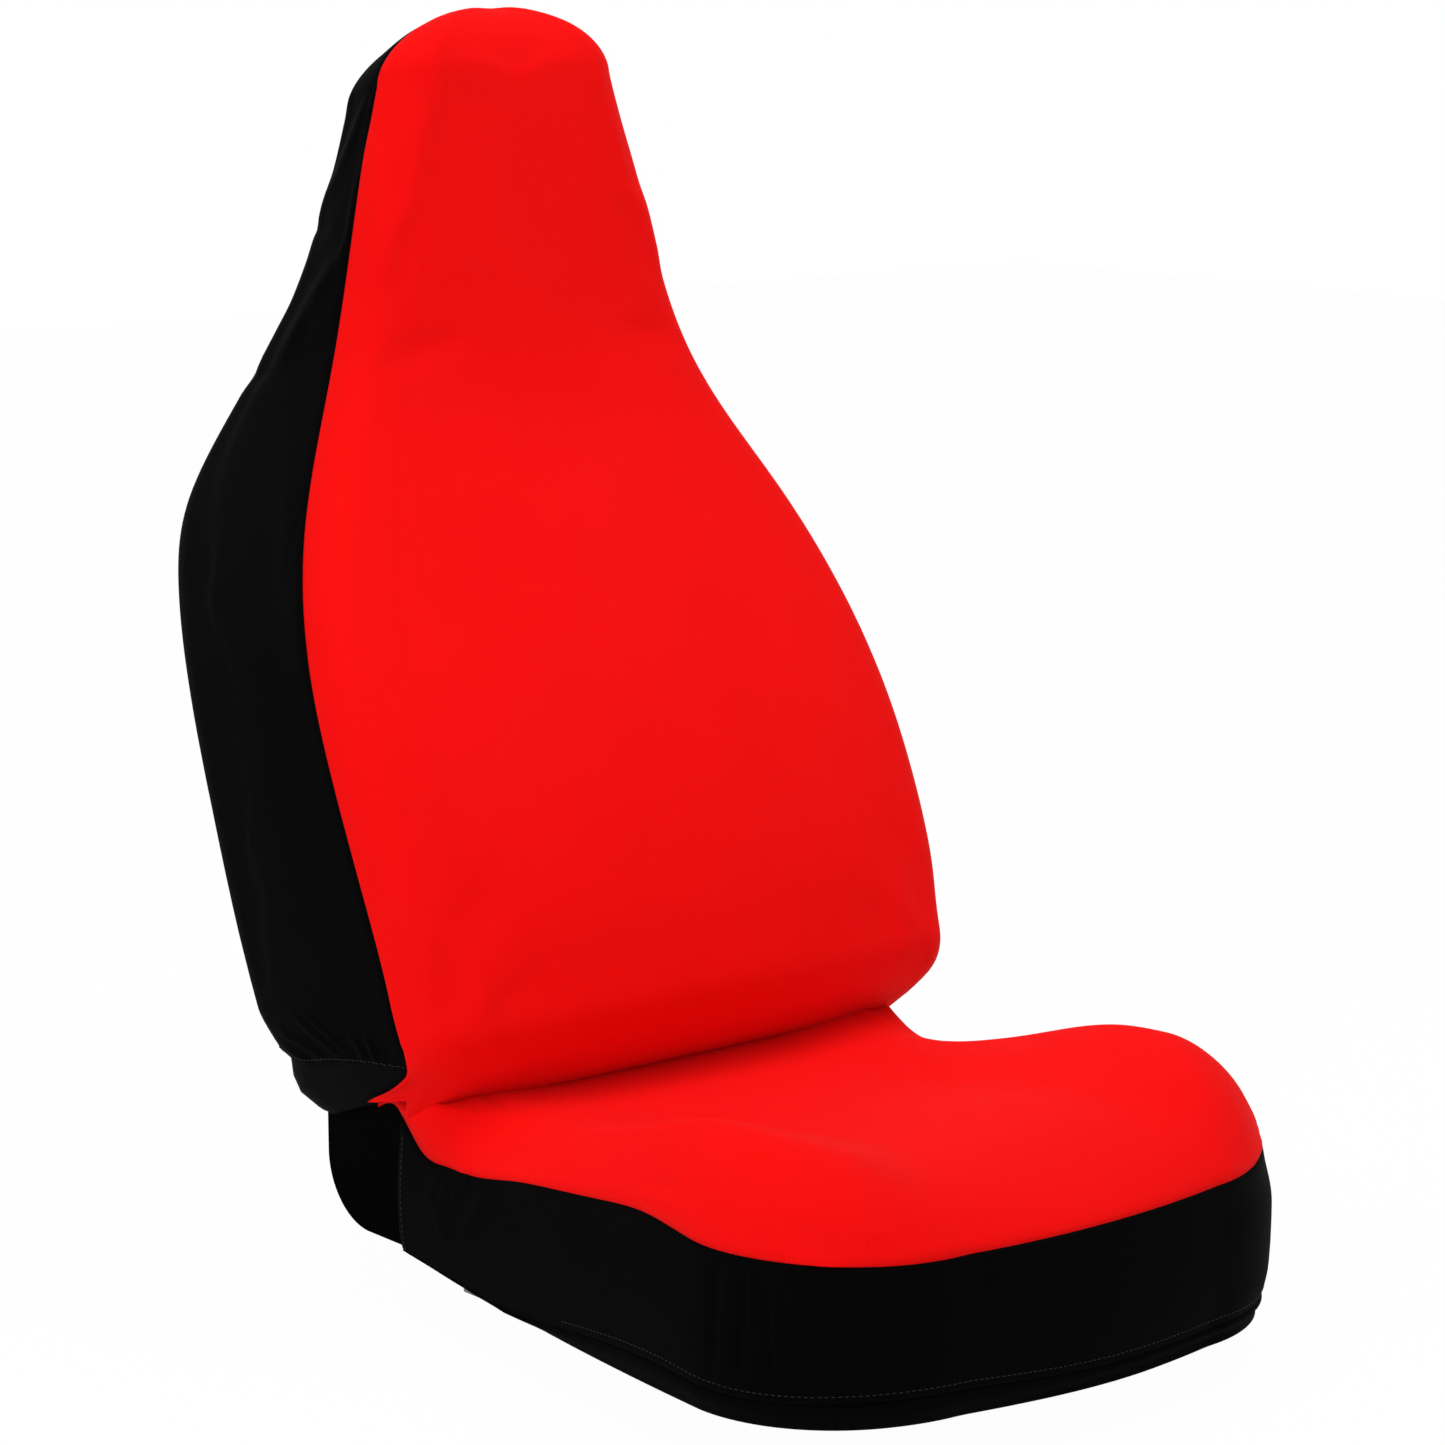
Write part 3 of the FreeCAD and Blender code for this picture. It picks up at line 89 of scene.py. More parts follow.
def add_mesh(name, points, faces, places=None):
    """Mesh from points in millimetres. places gives each point's place on the cloth, for the weave."""
    mesh = bpy.data.meshes.new(name)
    mesh.from_pydata([tuple(p) for p in np.asarray(points, float) * MM], [],
                     [tuple(int(i) for i in f) for f in faces])
    if places is not None:
        layer = mesh.uv_layers.new(name="cloth")
        corners = np.empty(len(mesh.loops), int)
        mesh.loops.foreach_get("vertex_index", corners)
        layer.data.foreach_set("uv", (np.asarray(places) * MM)[corners].ravel())
    mesh.validate()
    obj = bpy.data.objects.new(name, mesh)
    scene.collection.objects.link(obj)
    mesh.shade_smooth()
    return obj


def finer(grid):
    """Grid with a point added between each two, on smooth curves through the old ones."""
    for axis in (0, 1):
        g = np.moveaxis(grid, axis, 0)
        ends = np.concatenate([[2 * g[0] - g[1]], g, [2 * g[-1] - g[-2]]])
        middles = (9 * (ends[1:-2] + ends[2:-1]) - ends[:-3] - ends[3:]) / 16
        out = np.empty((2 * len(g) - 1,) + g.shape[1:])
        out[::2], out[1::2] = g, middles
        grid = np.moveaxis(out, 0, axis)
    return grid


def reach_over(grid, axis):
    """Distances over a grid of points, along its columns (axis 0) or its rows (axis 1)."""
    steps = np.linalg.norm(np.diff(grid, axis=axis), axis=2)
    return np.insert(np.cumsum(steps, axis), 0, 0, axis)


def reach_along(line):
    """Distances along a line of points on the drawing."""
    return np.concatenate([[0], np.cumsum(np.hypot(*np.diff(line, axis=0).T))])


def cloth_places(grid):
    """Distances along the rows and columns of a grid of points, from its middle column."""
    u = reach_over(grid, 1)
    u = u - u[:, grid.shape[1] // 2][:, None]
    return np.stack([u, reach_over(grid, 0)], -1).reshape(-1, 2)


def grid_normals(grid, outward):
    """Unit normals of a grid of points. outward is 1 or -1."""
    normal = np.cross(np.gradient(grid, axis=1), np.gradient(grid, axis=0)) * outward
    return normal / np.maximum(np.linalg.norm(normal, axis=2, keepdims=True), 1e-9)


# Eye, turn and tilt of the camera, and of the drawing that the folds were plotted on.
EYE = np.array([-1951.0, -2279.0, 1031.2])
TURN, TILT = math.radians(-39.77), math.radians(10.92)
LOOK = -np.array([math.sin(TURN) * math.cos(TILT), -math.cos(TURN) * math.cos(TILT), math.sin(TILT)])
ASIDE = np.cross(LOOK, [0, 0, 1.0]) / math.cos(TILT)
ABOVE = np.cross(ASIDE, LOOK)
DRAWING_MIDDLE, DRAWING_SCALE = 722.5, 4148.0


def plotted(points):
    """Where points of the seat fall on a drawing of it made from the front left, 1445 units wide."""
    away = points - EYE
    scale = DRAWING_SCALE / (away @ LOOK)
    return DRAWING_MIDDLE + scale * (away @ ASIDE), DRAWING_MIDDLE - scale * (away @ ABOVE)


def folds(grid, outward, paths, mirrored=0.0):
    """Raise folds on a grid of points. Each is (points on the drawing, width, height in mm).

    mirrored is the share of their height that they have again on the seat's far side.
    """
    for flip in (1, -1):
        strength = 1.0 if flip > 0 else mirrored
        if strength == 0:
            continue
        sides = grid * (flip, 1, 1)
        normal = grid_normals(grid, outward)
        facing = smooth_step(-(normal * (flip, 1, 1)) @ LOOK, -0.3, 0.0)
        px, py = plotted(sides)
        total = np.zeros(px.shape)
        for path, width, height in paths:
            line = np.array(path, float)
            if len(line) > 2:
                line = curve_through(line)
            reach = reach_along(line)
            near, along = np.full(px.shape, 1e9), np.zeros(px.shape)
            for a, b, start, stop in zip(line, line[1:], reach, reach[1:]):
                step = b - a
                t = np.clip(((px - a[0]) * step[0] + (py - a[1]) * step[1]) / (step @ step), 0, 1)
                distance = np.hypot(px - a[0] - t * step[0], py - a[1] - t * step[1])
                along = np.where(distance < near, start + t * (stop - start), along)
                near = np.minimum(near, distance)
            share = along / reach[-1]
            rise = smooth_step(share, -0.05, 0.3) * (1 - smooth_step(share, 0.7, 1.05))
            total += height * rise * np.exp(-(near / width) ** 2)
        grid = grid + normal * (total * facing * strength)[..., None]
    return grid


def curve_through(line, parts=6):
    """Smooth line through the given points."""
    reach = reach_along(line)
    places = np.linspace(0, reach[-1], parts * (len(line) - 1) + 1)
    return np.stack([spline(reach, line[:, k])(places) for k in (0, 1)], -1)


def seam_roll(grid, outward, width, height, *edges):
    """Cloth stands a little proud beside a seam: points near the named edges rise, those on it stay."""
    normal = grid_normals(grid, outward)
    across, along = reach_over(grid, 1), reach_over(grid, 0)
    gaps = {"low": along, "high": along[-1:] - along, "first": across, "last": across[:, -1:] - across}
    rise = np.zeros(grid.shape[:2])
    for edge in edges:
        t = gaps[edge] / width
        rise = np.maximum(rise, 2.718 * t * np.exp(-t))
    return grid + normal * (height * rise)[..., None]


CLOTH_PRESSURE, CLOTH_FRAMES, GREATEST_MOVE = 3.0, 20, 1.6


def swell(grids, outwards):
    """Cloth simulation of panels sewn into one cover, held along their edges.

    Each panel is a grid of points. The panels swell under pressure, and no point moves further
    than the greatest move. Gives back the panels' grids.
    """
    points = np.concatenate([grid.reshape(-1, 3) for grid in grids])
    faces, start = [], 0
    for grid, outward in zip(grids, outwards):
        quads = grid_faces(grid.shape[0], grid.shape[1], start)
        faces += [tuple(q if outward < 0 else q[::-1]) for q in quads]
        start += grid.shape[0] * grid.shape[1]
    kept, place = merge(points)
    obj = add_mesh("cloth_pass", points[kept], merged_faces(faces, place))
    group = obj.vertex_groups.new(name="held")
    marks = np.concatenate([edge_marks(grid).ravel() for grid in grids])
    group.add([int(i) for i in np.unique(place[marks])], 1.0, "REPLACE")
    cloth = obj.modifiers.new("Cloth", "CLOTH")
    settings = cloth.settings
    settings.quality = 6
    settings.mass = 0.25
    settings.tension_stiffness = settings.compression_stiffness = 18
    settings.shear_stiffness = 6
    settings.bending_stiffness = 0.4
    settings.use_pressure = True
    settings.uniform_pressure_force = CLOTH_PRESSURE
    settings.vertex_group_mass = "held"
    settings.effector_weights.gravity = 0
    cloth.point_cache.frame_start, cloth.point_cache.frame_end = 1, CLOTH_FRAMES
    for step in range(1, CLOTH_FRAMES + 1):
        scene.frame_set(step)
    shaped = obj.evaluated_get(bpy.context.evaluated_depsgraph_get()).to_mesh()
    moved = np.empty(len(shaped.vertices) * 3)
    shaped.vertices.foreach_get("co", moved)
    mesh = obj.data
    bpy.data.objects.remove(obj)
    bpy.data.meshes.remove(mesh)
    scene.frame_set(1)
    shift = moved.reshape(-1, 3) / MM - points[kept]
    size = np.linalg.norm(shift, axis=1, keepdims=True)
    shift = shift * GREATEST_MOVE * np.tanh(size / GREATEST_MOVE) / np.maximum(size, 1e-9)
    result, start = [], 0
    for grid in grids:
        count = grid.shape[0] * grid.shape[1]
        result.append(grid + shift[place[start:start + count]].reshape(grid.shape))
        start += count
    return result


def edge_marks(grid):
    """Marks on a grid's outer rows and columns."""
    mark = np.ones(grid.shape[:2], bool)
    mark[1:-1, 1:-1] = False
    return mark


def merge(points, reach=0.05):
    """Points that coincide become one: the kept points, and each point's place among them."""
    keys, kept = {}, []
    place = np.zeros(len(points), int)
    for i, p in enumerate(points):
        key = tuple(np.round(p / reach).astype(int))
        if key not in keys:
            keys[key] = len(kept)
            kept.append(i)
        place[i] = keys[key]
    return kept, place


def merged_faces(faces, place):
    """Faces on merged points, without those that this leaves without area."""
    rows = [tuple(dict.fromkeys(int(place[i]) for i in face)) for face in faces]
    return [row for row in rows if len(row) > 2]


# Backrest: a place up the back gives half width, seam depth, rear depth and rear flare

BACK_UP = (48, 55, 66, 90, 120, 160, 210, 317, 417, 497, 567, 627, 687, 747, 817, 862, 878)
BACK_HALF = (225, 232, 241, 256, 262, 265.5, 268, 267, 252.5, 225.5, 192, 166, 147.7, 132, 111.5, 96, 88)
BACK_SEAM = (38, 53, 72.4, 105, 113, 116, 116, 106, 89.6, 77.6, 71.8, 77, 91, 107.5, 128, 142, 147)
BACK_REAR = (-60, -72, -84, -92, -90, -87, -86, -82, -94, -114, -119, -84, -23, 20, 58.5, 87, 98)
BACK_FLARE = (0, 0, 0, 0, 1, 3, 4, 8, 12, 17, 21, 13, 5, 0, 0, 0, 0)
BACK_TOP = 878.0
BACK_LOW = 48.0
FRONT_CORNER = 34.0
REAR_CORNER = 40.0
# Below this height the elastic edge draws the cover's rear corners in.
DRAWN_IN = 162.0
# The elastic edge moves them in by this depth, and rounds them by this much more.
DRAWN_DEPTH, DRAWN_ROUND = 9.0, 17.0
CROWN_RADIUS = 1500.0
# Height over which the headrest's sides and rear curve in to its top, and the top's flat middle.
TOP_ROUND = 53.0
REAR_TOP_ROUND = 44.0
TOP_FLAT_HALF = 6.0
# Share of the front's half width, from its middle, at which its rounded corner begins.
FRONT_SPLIT, CORNER_SHARE = 0.82, 0.18
# Shares of the way from the seam to the rear's middle at which the rear corner begins and ends.
SIDE_END, CORNER_END = 0.42, 0.54

half_at = spline(BACK_UP, BACK_HALF)
seam_at = spline(BACK_UP, BACK_SEAM)
rear_at = spline(BACK_UP, BACK_REAR)
flare_at = spline(BACK_UP, BACK_FLARE)


def closing(up, start, end):
    """1 before start, falling to 0 at end like a quarter circle."""
    t = np.clip((up - start) / (end - start), 0, 1)
    return np.sqrt(np.maximum(1 - t * t, 0))


def back_half(up, inset=0.0):
    t = np.clip((up - BACK_TOP + TOP_ROUND) / TOP_ROUND, 0, 1)
    shut = np.maximum(1 - t ** 1.75, 0) ** 0.48
    wide = half_at(np.minimum(up, BACK_TOP - TOP_ROUND))
    return TOP_FLAT_HALF + (wide - TOP_FLAT_HALF) * shut - inset * shut


def back_front_corner(up):
    low = closing(BACK_LOW + FRONT_CORNER - up, 0, FRONT_CORNER)
    return FRONT_CORNER * closing(up, BACK_TOP - TOP_ROUND, BACK_TOP) * low


def back_rear_depth(up):
    shut = closing(up, BACK_TOP - REAR_TOP_ROUND, BACK_TOP)
    return seam_at(up) + (rear_at(up) - seam_at(up)) * shut


def front_point(across, up, inset=0.0):
    """Point of the front. across runs from -1 at the right seam, over the crown, to 1."""
    side, share = np.sign(across), np.abs(across)
    corner = np.maximum(back_front_corner(up) - inset, 0.5)
    half, seam = back_half(up, inset), seam_at(up)
    flat = half - corner
    x_crown = flat * share / FRONT_SPLIT
    crown = flat ** 2 / (2 * CROWN_RADIUS) * corner / FRONT_CORNER
    angle = (1 - np.clip((share - FRONT_SPLIT) / (1 - FRONT_SPLIT), 0, 1)) * math.pi / 2
    turned = share > FRONT_SPLIT
    x = np.where(turned, flat + corner * np.cos(angle), x_crown)
    rise = 1 - np.minimum(share / FRONT_SPLIT, 1) ** 2
    depth = seam + corner * np.where(turned, np.sin(angle), 1) + crown * rise
    return side * x, depth


def rear_point(around, up, inset=0.0):
    """Point of the sides and rear. around runs from -1 at the right seam to 1 at the left one."""
    side, share = np.sign(around), 1 - np.abs(around)
    half, seam = back_half(up, inset), seam_at(up)
    drawn = np.clip((DRAWN_IN - up) / 37, 0, 1) ** 1.5 + 0.25 * np.clip((90 - up) / 16, 0, 1)
    rear = back_rear_depth(up) + inset + DRAWN_DEPTH * drawn
    corner = np.minimum(REAR_CORNER - inset + DRAWN_ROUND * drawn, 0.42 * (seam - rear))
    wide = half + flare_at(up)
    along = np.clip(share / SIDE_END, 0, 1)
    turn = np.clip((share - SIDE_END) / (CORNER_END - SIDE_END), 0, 1) * math.pi / 2
    inner = np.clip((share - CORNER_END) / (1 - CORNER_END), 0, 1)
    puff = 2.5 * np.sin(math.pi * along) * np.minimum(1, (seam - rear) / 80)
    x = np.where(share < SIDE_END, half + (wide - half) * along + puff,
                 wide - corner + corner * np.cos(turn))
    x = np.where(share > CORNER_END, (wide - corner) * (1 - inner), x)
    depth = np.where(share < SIDE_END, seam + (rear + corner - seam) * along,
                     rear + corner - corner * np.sin(turn))
    return side * x, depth


def lay_back(x, up, depth):
    """From the backrest's own upright frame to the seat's frame."""
    y = PIVOT_BACK + up * math.sin(RECLINE) - depth * math.cos(RECLINE)
    z = PIVOT_UP + up * math.cos(RECLINE) + depth * math.sin(RECLINE)
    return np.stack([np.broadcast_to(x, y.shape), y, z], -1)


# Lower edge of the black cover: depth and height up the back.
hem_at = spline((-120, -72, -45, -30, -15, 12, 36, 60, 86, 111),
                (129, 127, 122.5, 115.5, 110.8, 107.5, 104, 99.2, 93.2, 87))

LOW_ROWS, HIGH_ROWS, ARCH_ROWS = 12, 70, 15
SEAM_LOW = 87.0
# The front panel's lower corners end in tongues drawn round to the sides: their height and
# length, their reach upwards, how fast they thin, and their fall below.
FLAP_UP, FLAP_LONG = 74.0, 52.0
FLAP_OVER, FLAP_THINS, FLAP_FALL = 12.0, 5.0, 3.2
# Half widths between which the flap under the crease stops making way for the housing.
MAKE_WAY, MAKE_NONE = 190.0, 206.0
# The sitter's left side of the cover is a little fuller, most of all at its lower corner.
FULLER, FULLER_CORNER, FULLER_FROM, FULLER_TO = 2.4, 8.0, 120.0, 232.0
FULL_CORNER_UP, FULL_CORNER_SPAN = 74.0, 17.0


def back_up_rows():
    """Heights up the back: a few rows below the black cover's edge, then closer near the top."""
    t = np.linspace(0, 1, HIGH_ROWS, endpoint=False)
    t = t - 0.3 * np.sin(2 * math.pi * t) / (2 * math.pi) - 0.25 * t * (1 - t) ** 2
    arch = BACK_TOP - TOP_ROUND * (1 - np.sin(np.linspace(0, math.pi / 2, ARCH_ROWS)))
    high = np.concatenate([SEAM_LOW + (BACK_TOP - TOP_ROUND - SEAM_LOW) * t, arch])
    low = np.linspace(BACK_LOW, SEAM_LOW, LOW_ROWS, endpoint=False)
    return np.concatenate([low, high]), (high - SEAM_LOW) / (BACK_TOP - SEAM_LOW)


def both_sides(values):
    """Values from 0 to 1 mirrored to run from -1 to 1."""
    return np.concatenate([-values[:0:-1], values])


FRONT_SHARES = both_sides(np.concatenate([np.linspace(0, FRONT_SPLIT, 27), np.linspace(0.84, 0.98, 9),
                                          (0.992, 1.0)]))
REAR_SHARES = both_sides(np.concatenate([np.linspace(0, 0.46, 18), np.linspace(0.475, 0.98, 46),
                                         (0.993, 1.0)]))


def filled_out(x, up):
    """How much further to the sitter's left the cover is there."""
    corner = np.exp(-((up - FULL_CORNER_UP) / FULL_CORNER_SPAN) ** 2)
    return (FULLER + FULLER_CORNER * corner) * smooth_step(x, FULLER_FROM, FULLER_TO)


def back_cover_grids():
    """Front and side panels of the backrest cover as grids of points that share the seam's points."""
    rows, mix = back_up_rows()
    up = rows[:, None] + 0 * FRONT_SHARES
    x, depth = front_point(FRONT_SHARES + 0 * up, up)
    above = np.clip(up - FLAP_UP, 0, FLAP_OVER)
    thinnest = math.exp(-FLAP_OVER / FLAP_THINS)
    taper = (np.exp(-above / FLAP_THINS) - thinnest) / (1 - thinnest)
    tongue = FLAP_LONG * taper * np.exp(-(np.minimum(up - FLAP_UP, 0) / FLAP_FALL) ** 2)
    corner = np.maximum(back_front_corner(up), 0.5)
    arc = corner * math.pi / 2
    turned = np.abs(FRONT_SHARES) > FRONT_SPLIT
    run = (arc + tongue) * np.clip((np.abs(FRONT_SHARES) - FRONT_SPLIT) / CORNER_SHARE, 0, 1)
    past = np.maximum(run - arc, 0)
    angle = (1 - np.minimum(run / arc, 1)) * math.pi / 2
    half = back_half(up)
    x = np.where(turned, np.sign(FRONT_SHARES) * (half - corner + corner * np.cos(angle)
                                                  + 2.0 * np.minimum(past / 10, 1)), x)
    depth = np.where(turned, seam_at(up) + corner * np.sin(angle) - past, depth)
    # the flap under the crease stays outside the housing that it passes as the backrest reclines
    push = np.maximum(CLEAR_RADIUS / np.hypot(up, depth), 1) - 1
    push = 1 + push * (1 - smooth_step(np.abs(x), MAKE_WAY, MAKE_NONE))
    front = lay_back(x + filled_out(x, up), up * push, depth * push)
    _, depth_low = rear_point(REAR_SHARES, np.full(len(REAR_SHARES), 105.0))
    low = hem_at(depth_low)
    low[0] = low[-1] = SEAM_LOW
    up_rear = low + (BACK_TOP - low) * mix[:, None]
    x, depth = rear_point(REAR_SHARES + 0 * up_rear, up_rear)
    return front, lay_back(x + filled_out(x, up_rear), up_rear, depth)


# Cushion: plan outline, seam height and the top surface

PLAN_WIDE, PLAN_NARROW, PLAN_BACK = 253.0, 232.0, 158.0
PLAN_START, PLAN_CORNER, PLAN_BULGE = -206.0, 132.0, 10.0
PLAN_FLAT = PLAN_WIDE - PLAN_CORNER
PLAN_FRONT = PLAN_START - PLAN_CORNER
CREST_HALF, WELL_HALF = 214.0, 84.0
# Distance round the outline to the middle of its front corner.
PLAN_TURN = PLAN_FLAT + PLAN_CORNER * math.pi / 4
# Width over which the top rolls down at the sides, and its changes at the front corner, the
# front, the front's middle and the rear.
ROLL, ROLL_CORNER, ROLL_FRONT, ROLL_MIDDLE, ROLL_REAR = 58.0, 10.0, 18.0, 24.0, 52.0
ROLL_POWER = 1.6
# The seam at the front on the sitter's left is drawn in by this much, and drawn up by this much.
SEAM_DRAWN_IN, SEAM_DRAWN_UP = 6.0, 7.0

seam_up_at = spline((-352, -255, -214, -182, -150, -105, -48, 11, 66, 100, 133, 146, 160),
                    (154, 157, 158.5, 162, 164.5, 161, 154, 146, 136.5, 135, 139, 149, 161))
crest_at = spline((-352, -295, -243, -202, -155, -68, 14, 80, 118, 160),
                  (222, 225, 226.5, 225.5, 221, 196, 175, 171.5, 174.5, 176))
middle_at = spline((-352, -295, -243, -210, -155, -68, 14, 80, 118, 160),
                   (200, 199, 198, 196, 188, 172, 165, 165, 167, 169))
skirt_edge_at = spline((-352, -300, -195, -88, -14, 56, 119, 158), (0, -1.5, -3, -2.3, 0, 4.2, 10, 14.2))
# Depth of the binding along the skirt's edge, by the distance round the front from its middle.
band_at = spline((-620, -552, -505, -447, -417, -360, -300, -220, -130, -30, 90, 230, 330, 417, 447,
                  505, 552, 620),
                 (1.5, 1.5, 9, 18, 21, 23, 20, 21, 21.5, 17, 15.5, 16, 20, 21, 18, 9, 1.5, 1.5))
HEM_UP = 40.0
# The skirt's sag at the front left, its puff, and how far its lowest part is drawn in.
SKIRT_SAG, SKIRT_PUFF, SKIRT_TUCK, TUCK_OVER = 6.5, 3.0, 7.0, 32.0


def skirt_low(y, run):
    """Height of the skirt's lower edge, which hangs a little lower at the front left of the sitter."""
    sag = SKIRT_SAG * smooth_step(run, -180, 60) * (1 - smooth_step(run, 300, 430))
    return HEM_UP + skirt_edge_at(y) - sag


def plan_half(y):
    return PLAN_WIDE - (PLAN_WIDE - PLAN_NARROW) * (y - PLAN_START) / (PLAN_BACK - PLAN_START)


def outline_point(distance, inset=0.0):
    """Point of the plan outline at a distance from the middle of the front, + to the sitter's left."""
    side, run = np.sign(distance), np.abs(np.asarray(distance, float))
    corner = PLAN_CORNER - inset
    arc = corner * math.pi / 2
    angle = np.clip((run - PLAN_FLAT) / arc, 0, 1) * math.pi / 2
    y_side = PLAN_START + np.maximum(run - PLAN_FLAT - arc, 0)
    x = np.where(run < PLAN_FLAT, run, PLAN_FLAT + corner * np.sin(angle))
    x = np.where(y_side > PLAN_START, plan_half(y_side) - inset, x)
    bulge = PLAN_BULGE * (1 - np.minimum(run / PLAN_FLAT, 1) ** 2)
    y = np.where(y_side > PLAN_START, y_side, PLAN_START - corner * np.cos(angle) - bulge)
    return side * x, y


OUTLINE_HALF = PLAN_FLAT + PLAN_CORNER * math.pi / 2 + (PLAN_BACK - PLAN_START)


def edge_distance(x, y):
    """Distance from the plan outline and the width over which the top rolls down there."""
    ax = np.abs(x)
    angle = np.arctan2(PLAN_START - y, np.maximum(ax - PLAN_FLAT, 1e-6))
    corner = PLAN_CORNER - np.hypot(ax - PLAN_FLAT, y - PLAN_START)
    front = y - PLAN_FRONT + PLAN_BULGE * (1 - np.minimum(ax / PLAN_FLAT, 1) ** 2)
    distance = np.where(y > PLAN_START, plan_half(y) - ax, np.where(ax > PLAN_FLAT, corner, front))
    turn = np.where(y > PLAN_START, 0, np.where(ax > PLAN_FLAT, angle / (math.pi / 2), 1))
    roll = ROLL + ROLL_CORNER * smooth_step(turn, 0, 0.6) + ROLL_FRONT * smooth_step(turn, 0.55, 1)
    roll = roll - ROLL_REAR * smooth_step(y, 60, 137)
    roll = roll + ROLL_MIDDLE * (1 - smooth_step(ax, 0, PLAN_FLAT)) * smooth_step(turn, 0.9, 1)
    return np.maximum(distance, 0), roll


def drawn_corner(x, y):
    """How far the seam is drawn in, and which way, round the front corner on the sitter's left."""
    over, ahead = np.maximum(x - PLAN_FLAT, 0), np.minimum(y - PLAN_START, 0)
    reach = np.maximum(np.hypot(over, ahead), 1e-6)
    turn = np.arctan2(-ahead, over) / (math.pi / 2)
    amount = SEAM_DRAWN_IN * np.maximum(np.sin(math.pi * turn), 0) ** 1.2
    return amount * over / reach, amount * ahead / reach


def seam_height(x, y):
    """Height of the seam round the top. It is drawn up a little at the front on the sitter's left."""
    return seam_up_at(y) + SEAM_DRAWN_UP * smooth_step(x, 150, 215) * np.exp(-((y + 255) / 34) ** 2)


def cushion_top(x, y):
    """Height of the cushion's top surface."""
    ax = np.abs(x)
    rise = smooth_step(ax, WELL_HALF, CREST_HALF)
    full = middle_at(y) + (crest_at(y) - middle_at(y)) * rise
    distance, roll = edge_distance(x, y)
    t = np.clip(distance / roll, 0, 1)
    climb = (1 - (1 - t) ** ROLL_POWER) ** (1 / ROLL_POWER)
    seam = seam_height(x, y)
    return seam + (full - seam) * climb


def plan_spacing(rows, columns):
    """Places down the outline's sides, from the rear, and across, from 0 at the right to 1."""
    s, t = np.linspace(0, 1, rows), np.linspace(0, 1, columns)
    return 0.5 * s + 0.5 * np.sin(s * math.pi / 2), 0.45 * t + 0.55 * (0.5 - 0.5 * np.cos(math.pi * t))


def coons_plan(rows, columns, inset=0.0):
    """Even grid over the plan, with its four corners at the rear corners and on the front curves."""
    s_dense, t_dense = plan_spacing(rows, columns)
    side_run = OUTLINE_HALF + (PLAN_TURN - OUTLINE_HALF) * s_dense
    left = np.stack(outline_point(side_run, inset), -1)
    right = left * (-1, 1)
    front = np.stack(outline_point((2 * t_dense - 1) * PLAN_TURN, inset), -1)
    half = left[0, 0]
    back = np.stack([(2 * t_dense - 1) * half, np.full(columns, left[0, 1])], -1)
    sv, tv = s_dense[:, None, None], t_dense[None, :, None]
    grid = ((1 - tv) * right[:, None] + tv * left[:, None] + (1 - sv) * back[None] + sv * front[None]
            - (1 - sv) * (1 - tv) * back[0] - (1 - sv) * tv * back[-1]
            - sv * (1 - tv) * front[0] - sv * tv * front[-1])
    return grid[..., 0], grid[..., 1]


TOP_ROWS, TOP_COLUMNS = 72, 76
# Behind the rear corners the cloth rolls back over the ends of the foam: how far back each of
# these rows lies, and how far up.
ROLLED_ROWS = ((32, 0.5), (26, 3.5), (19, 6.2), (12, 7.2), (6, 5.0))


def height_allowed(y, radius=CLEAR_RADIUS - 1):
    """Greatest height inside a radius about the hinge, at a place in front of it."""
    return PIVOT_UP + np.sqrt(np.maximum(radius ** 2 - np.minimum(y - PIVOT_BACK, 0) ** 2, 0))


def cushion_top_grid():
    x, y = coons_plan(TOP_ROWS, TOP_COLUMNS)
    z = cushion_top(x, y)
    under = smooth_step(y, 134 + 10 * smooth_step(np.abs(x), 165, 200), 146)
    z = z + (np.minimum(z, height_allowed(y)) - z) * under
    near = np.exp(-(edge_distance(x, y)[0] / 60) ** 2)
    over, ahead = drawn_corner(x, y)
    top = np.stack([x - over * near, y - ahead * near, z], -1)
    corner = smooth_step(np.abs(x[0]), 198, 226)
    rolled = []
    for back, rise in ROLLED_ROWS:
        row = top[0].copy()
        row[:, 1] += back * (0.2 + 0.8 * corner)
        row[:, 2] += rise * corner - (1 - corner) * back * 0.2
        row[:, 2] = np.minimum(row[:, 2], height_allowed(row[:, 1]))
        rolled.append(row)
    return np.concatenate([np.array(rolled), top])


def skirt_points(rows, top_at, low_at):
    """Wall round the plan between two heights, drawn in a little towards its lower edge."""
    edge = boundary_runs()
    t = np.linspace(0, 1, rows)[:, None]
    x, y = outline_point(edge)
    high, low = top_at(y, edge), low_at(y, edge)
    z = high + (low - high) * t
    down = np.clip((high - z) / (high - HEM_UP), 0, 1)
    pull = (SKIRT_TUCK * np.clip((HEM_UP + TUCK_OVER - z) / TUCK_OVER, 0, 1) ** 2
            - SKIRT_PUFF * np.sin(math.pi * down ** 0.8))
    # its rear ends stand further back lower down
    ends = y + 4 * np.clip((158 - z) / 60, 0, 1) * smooth_step(y, 125, 158)
    nx, ny = outline_normal(edge)
    near = 1 - smooth_step((seam_height(x, y) - z) / 40, 0, 1)
    over, ahead = drawn_corner(x, y)
    return np.stack([x - nx * pull - over * near, ends - ny * pull - ahead * near, z], -1)


def outline_normal(run):
    """Outward direction of the plan outline."""
    ax, ay = outline_point(run + 0.5)
    bx, by = outline_point(run - 0.5)
    dx, dy = ax - bx, ay - by
    size = np.hypot(dx, dy)
    return dy / size, -dx / size


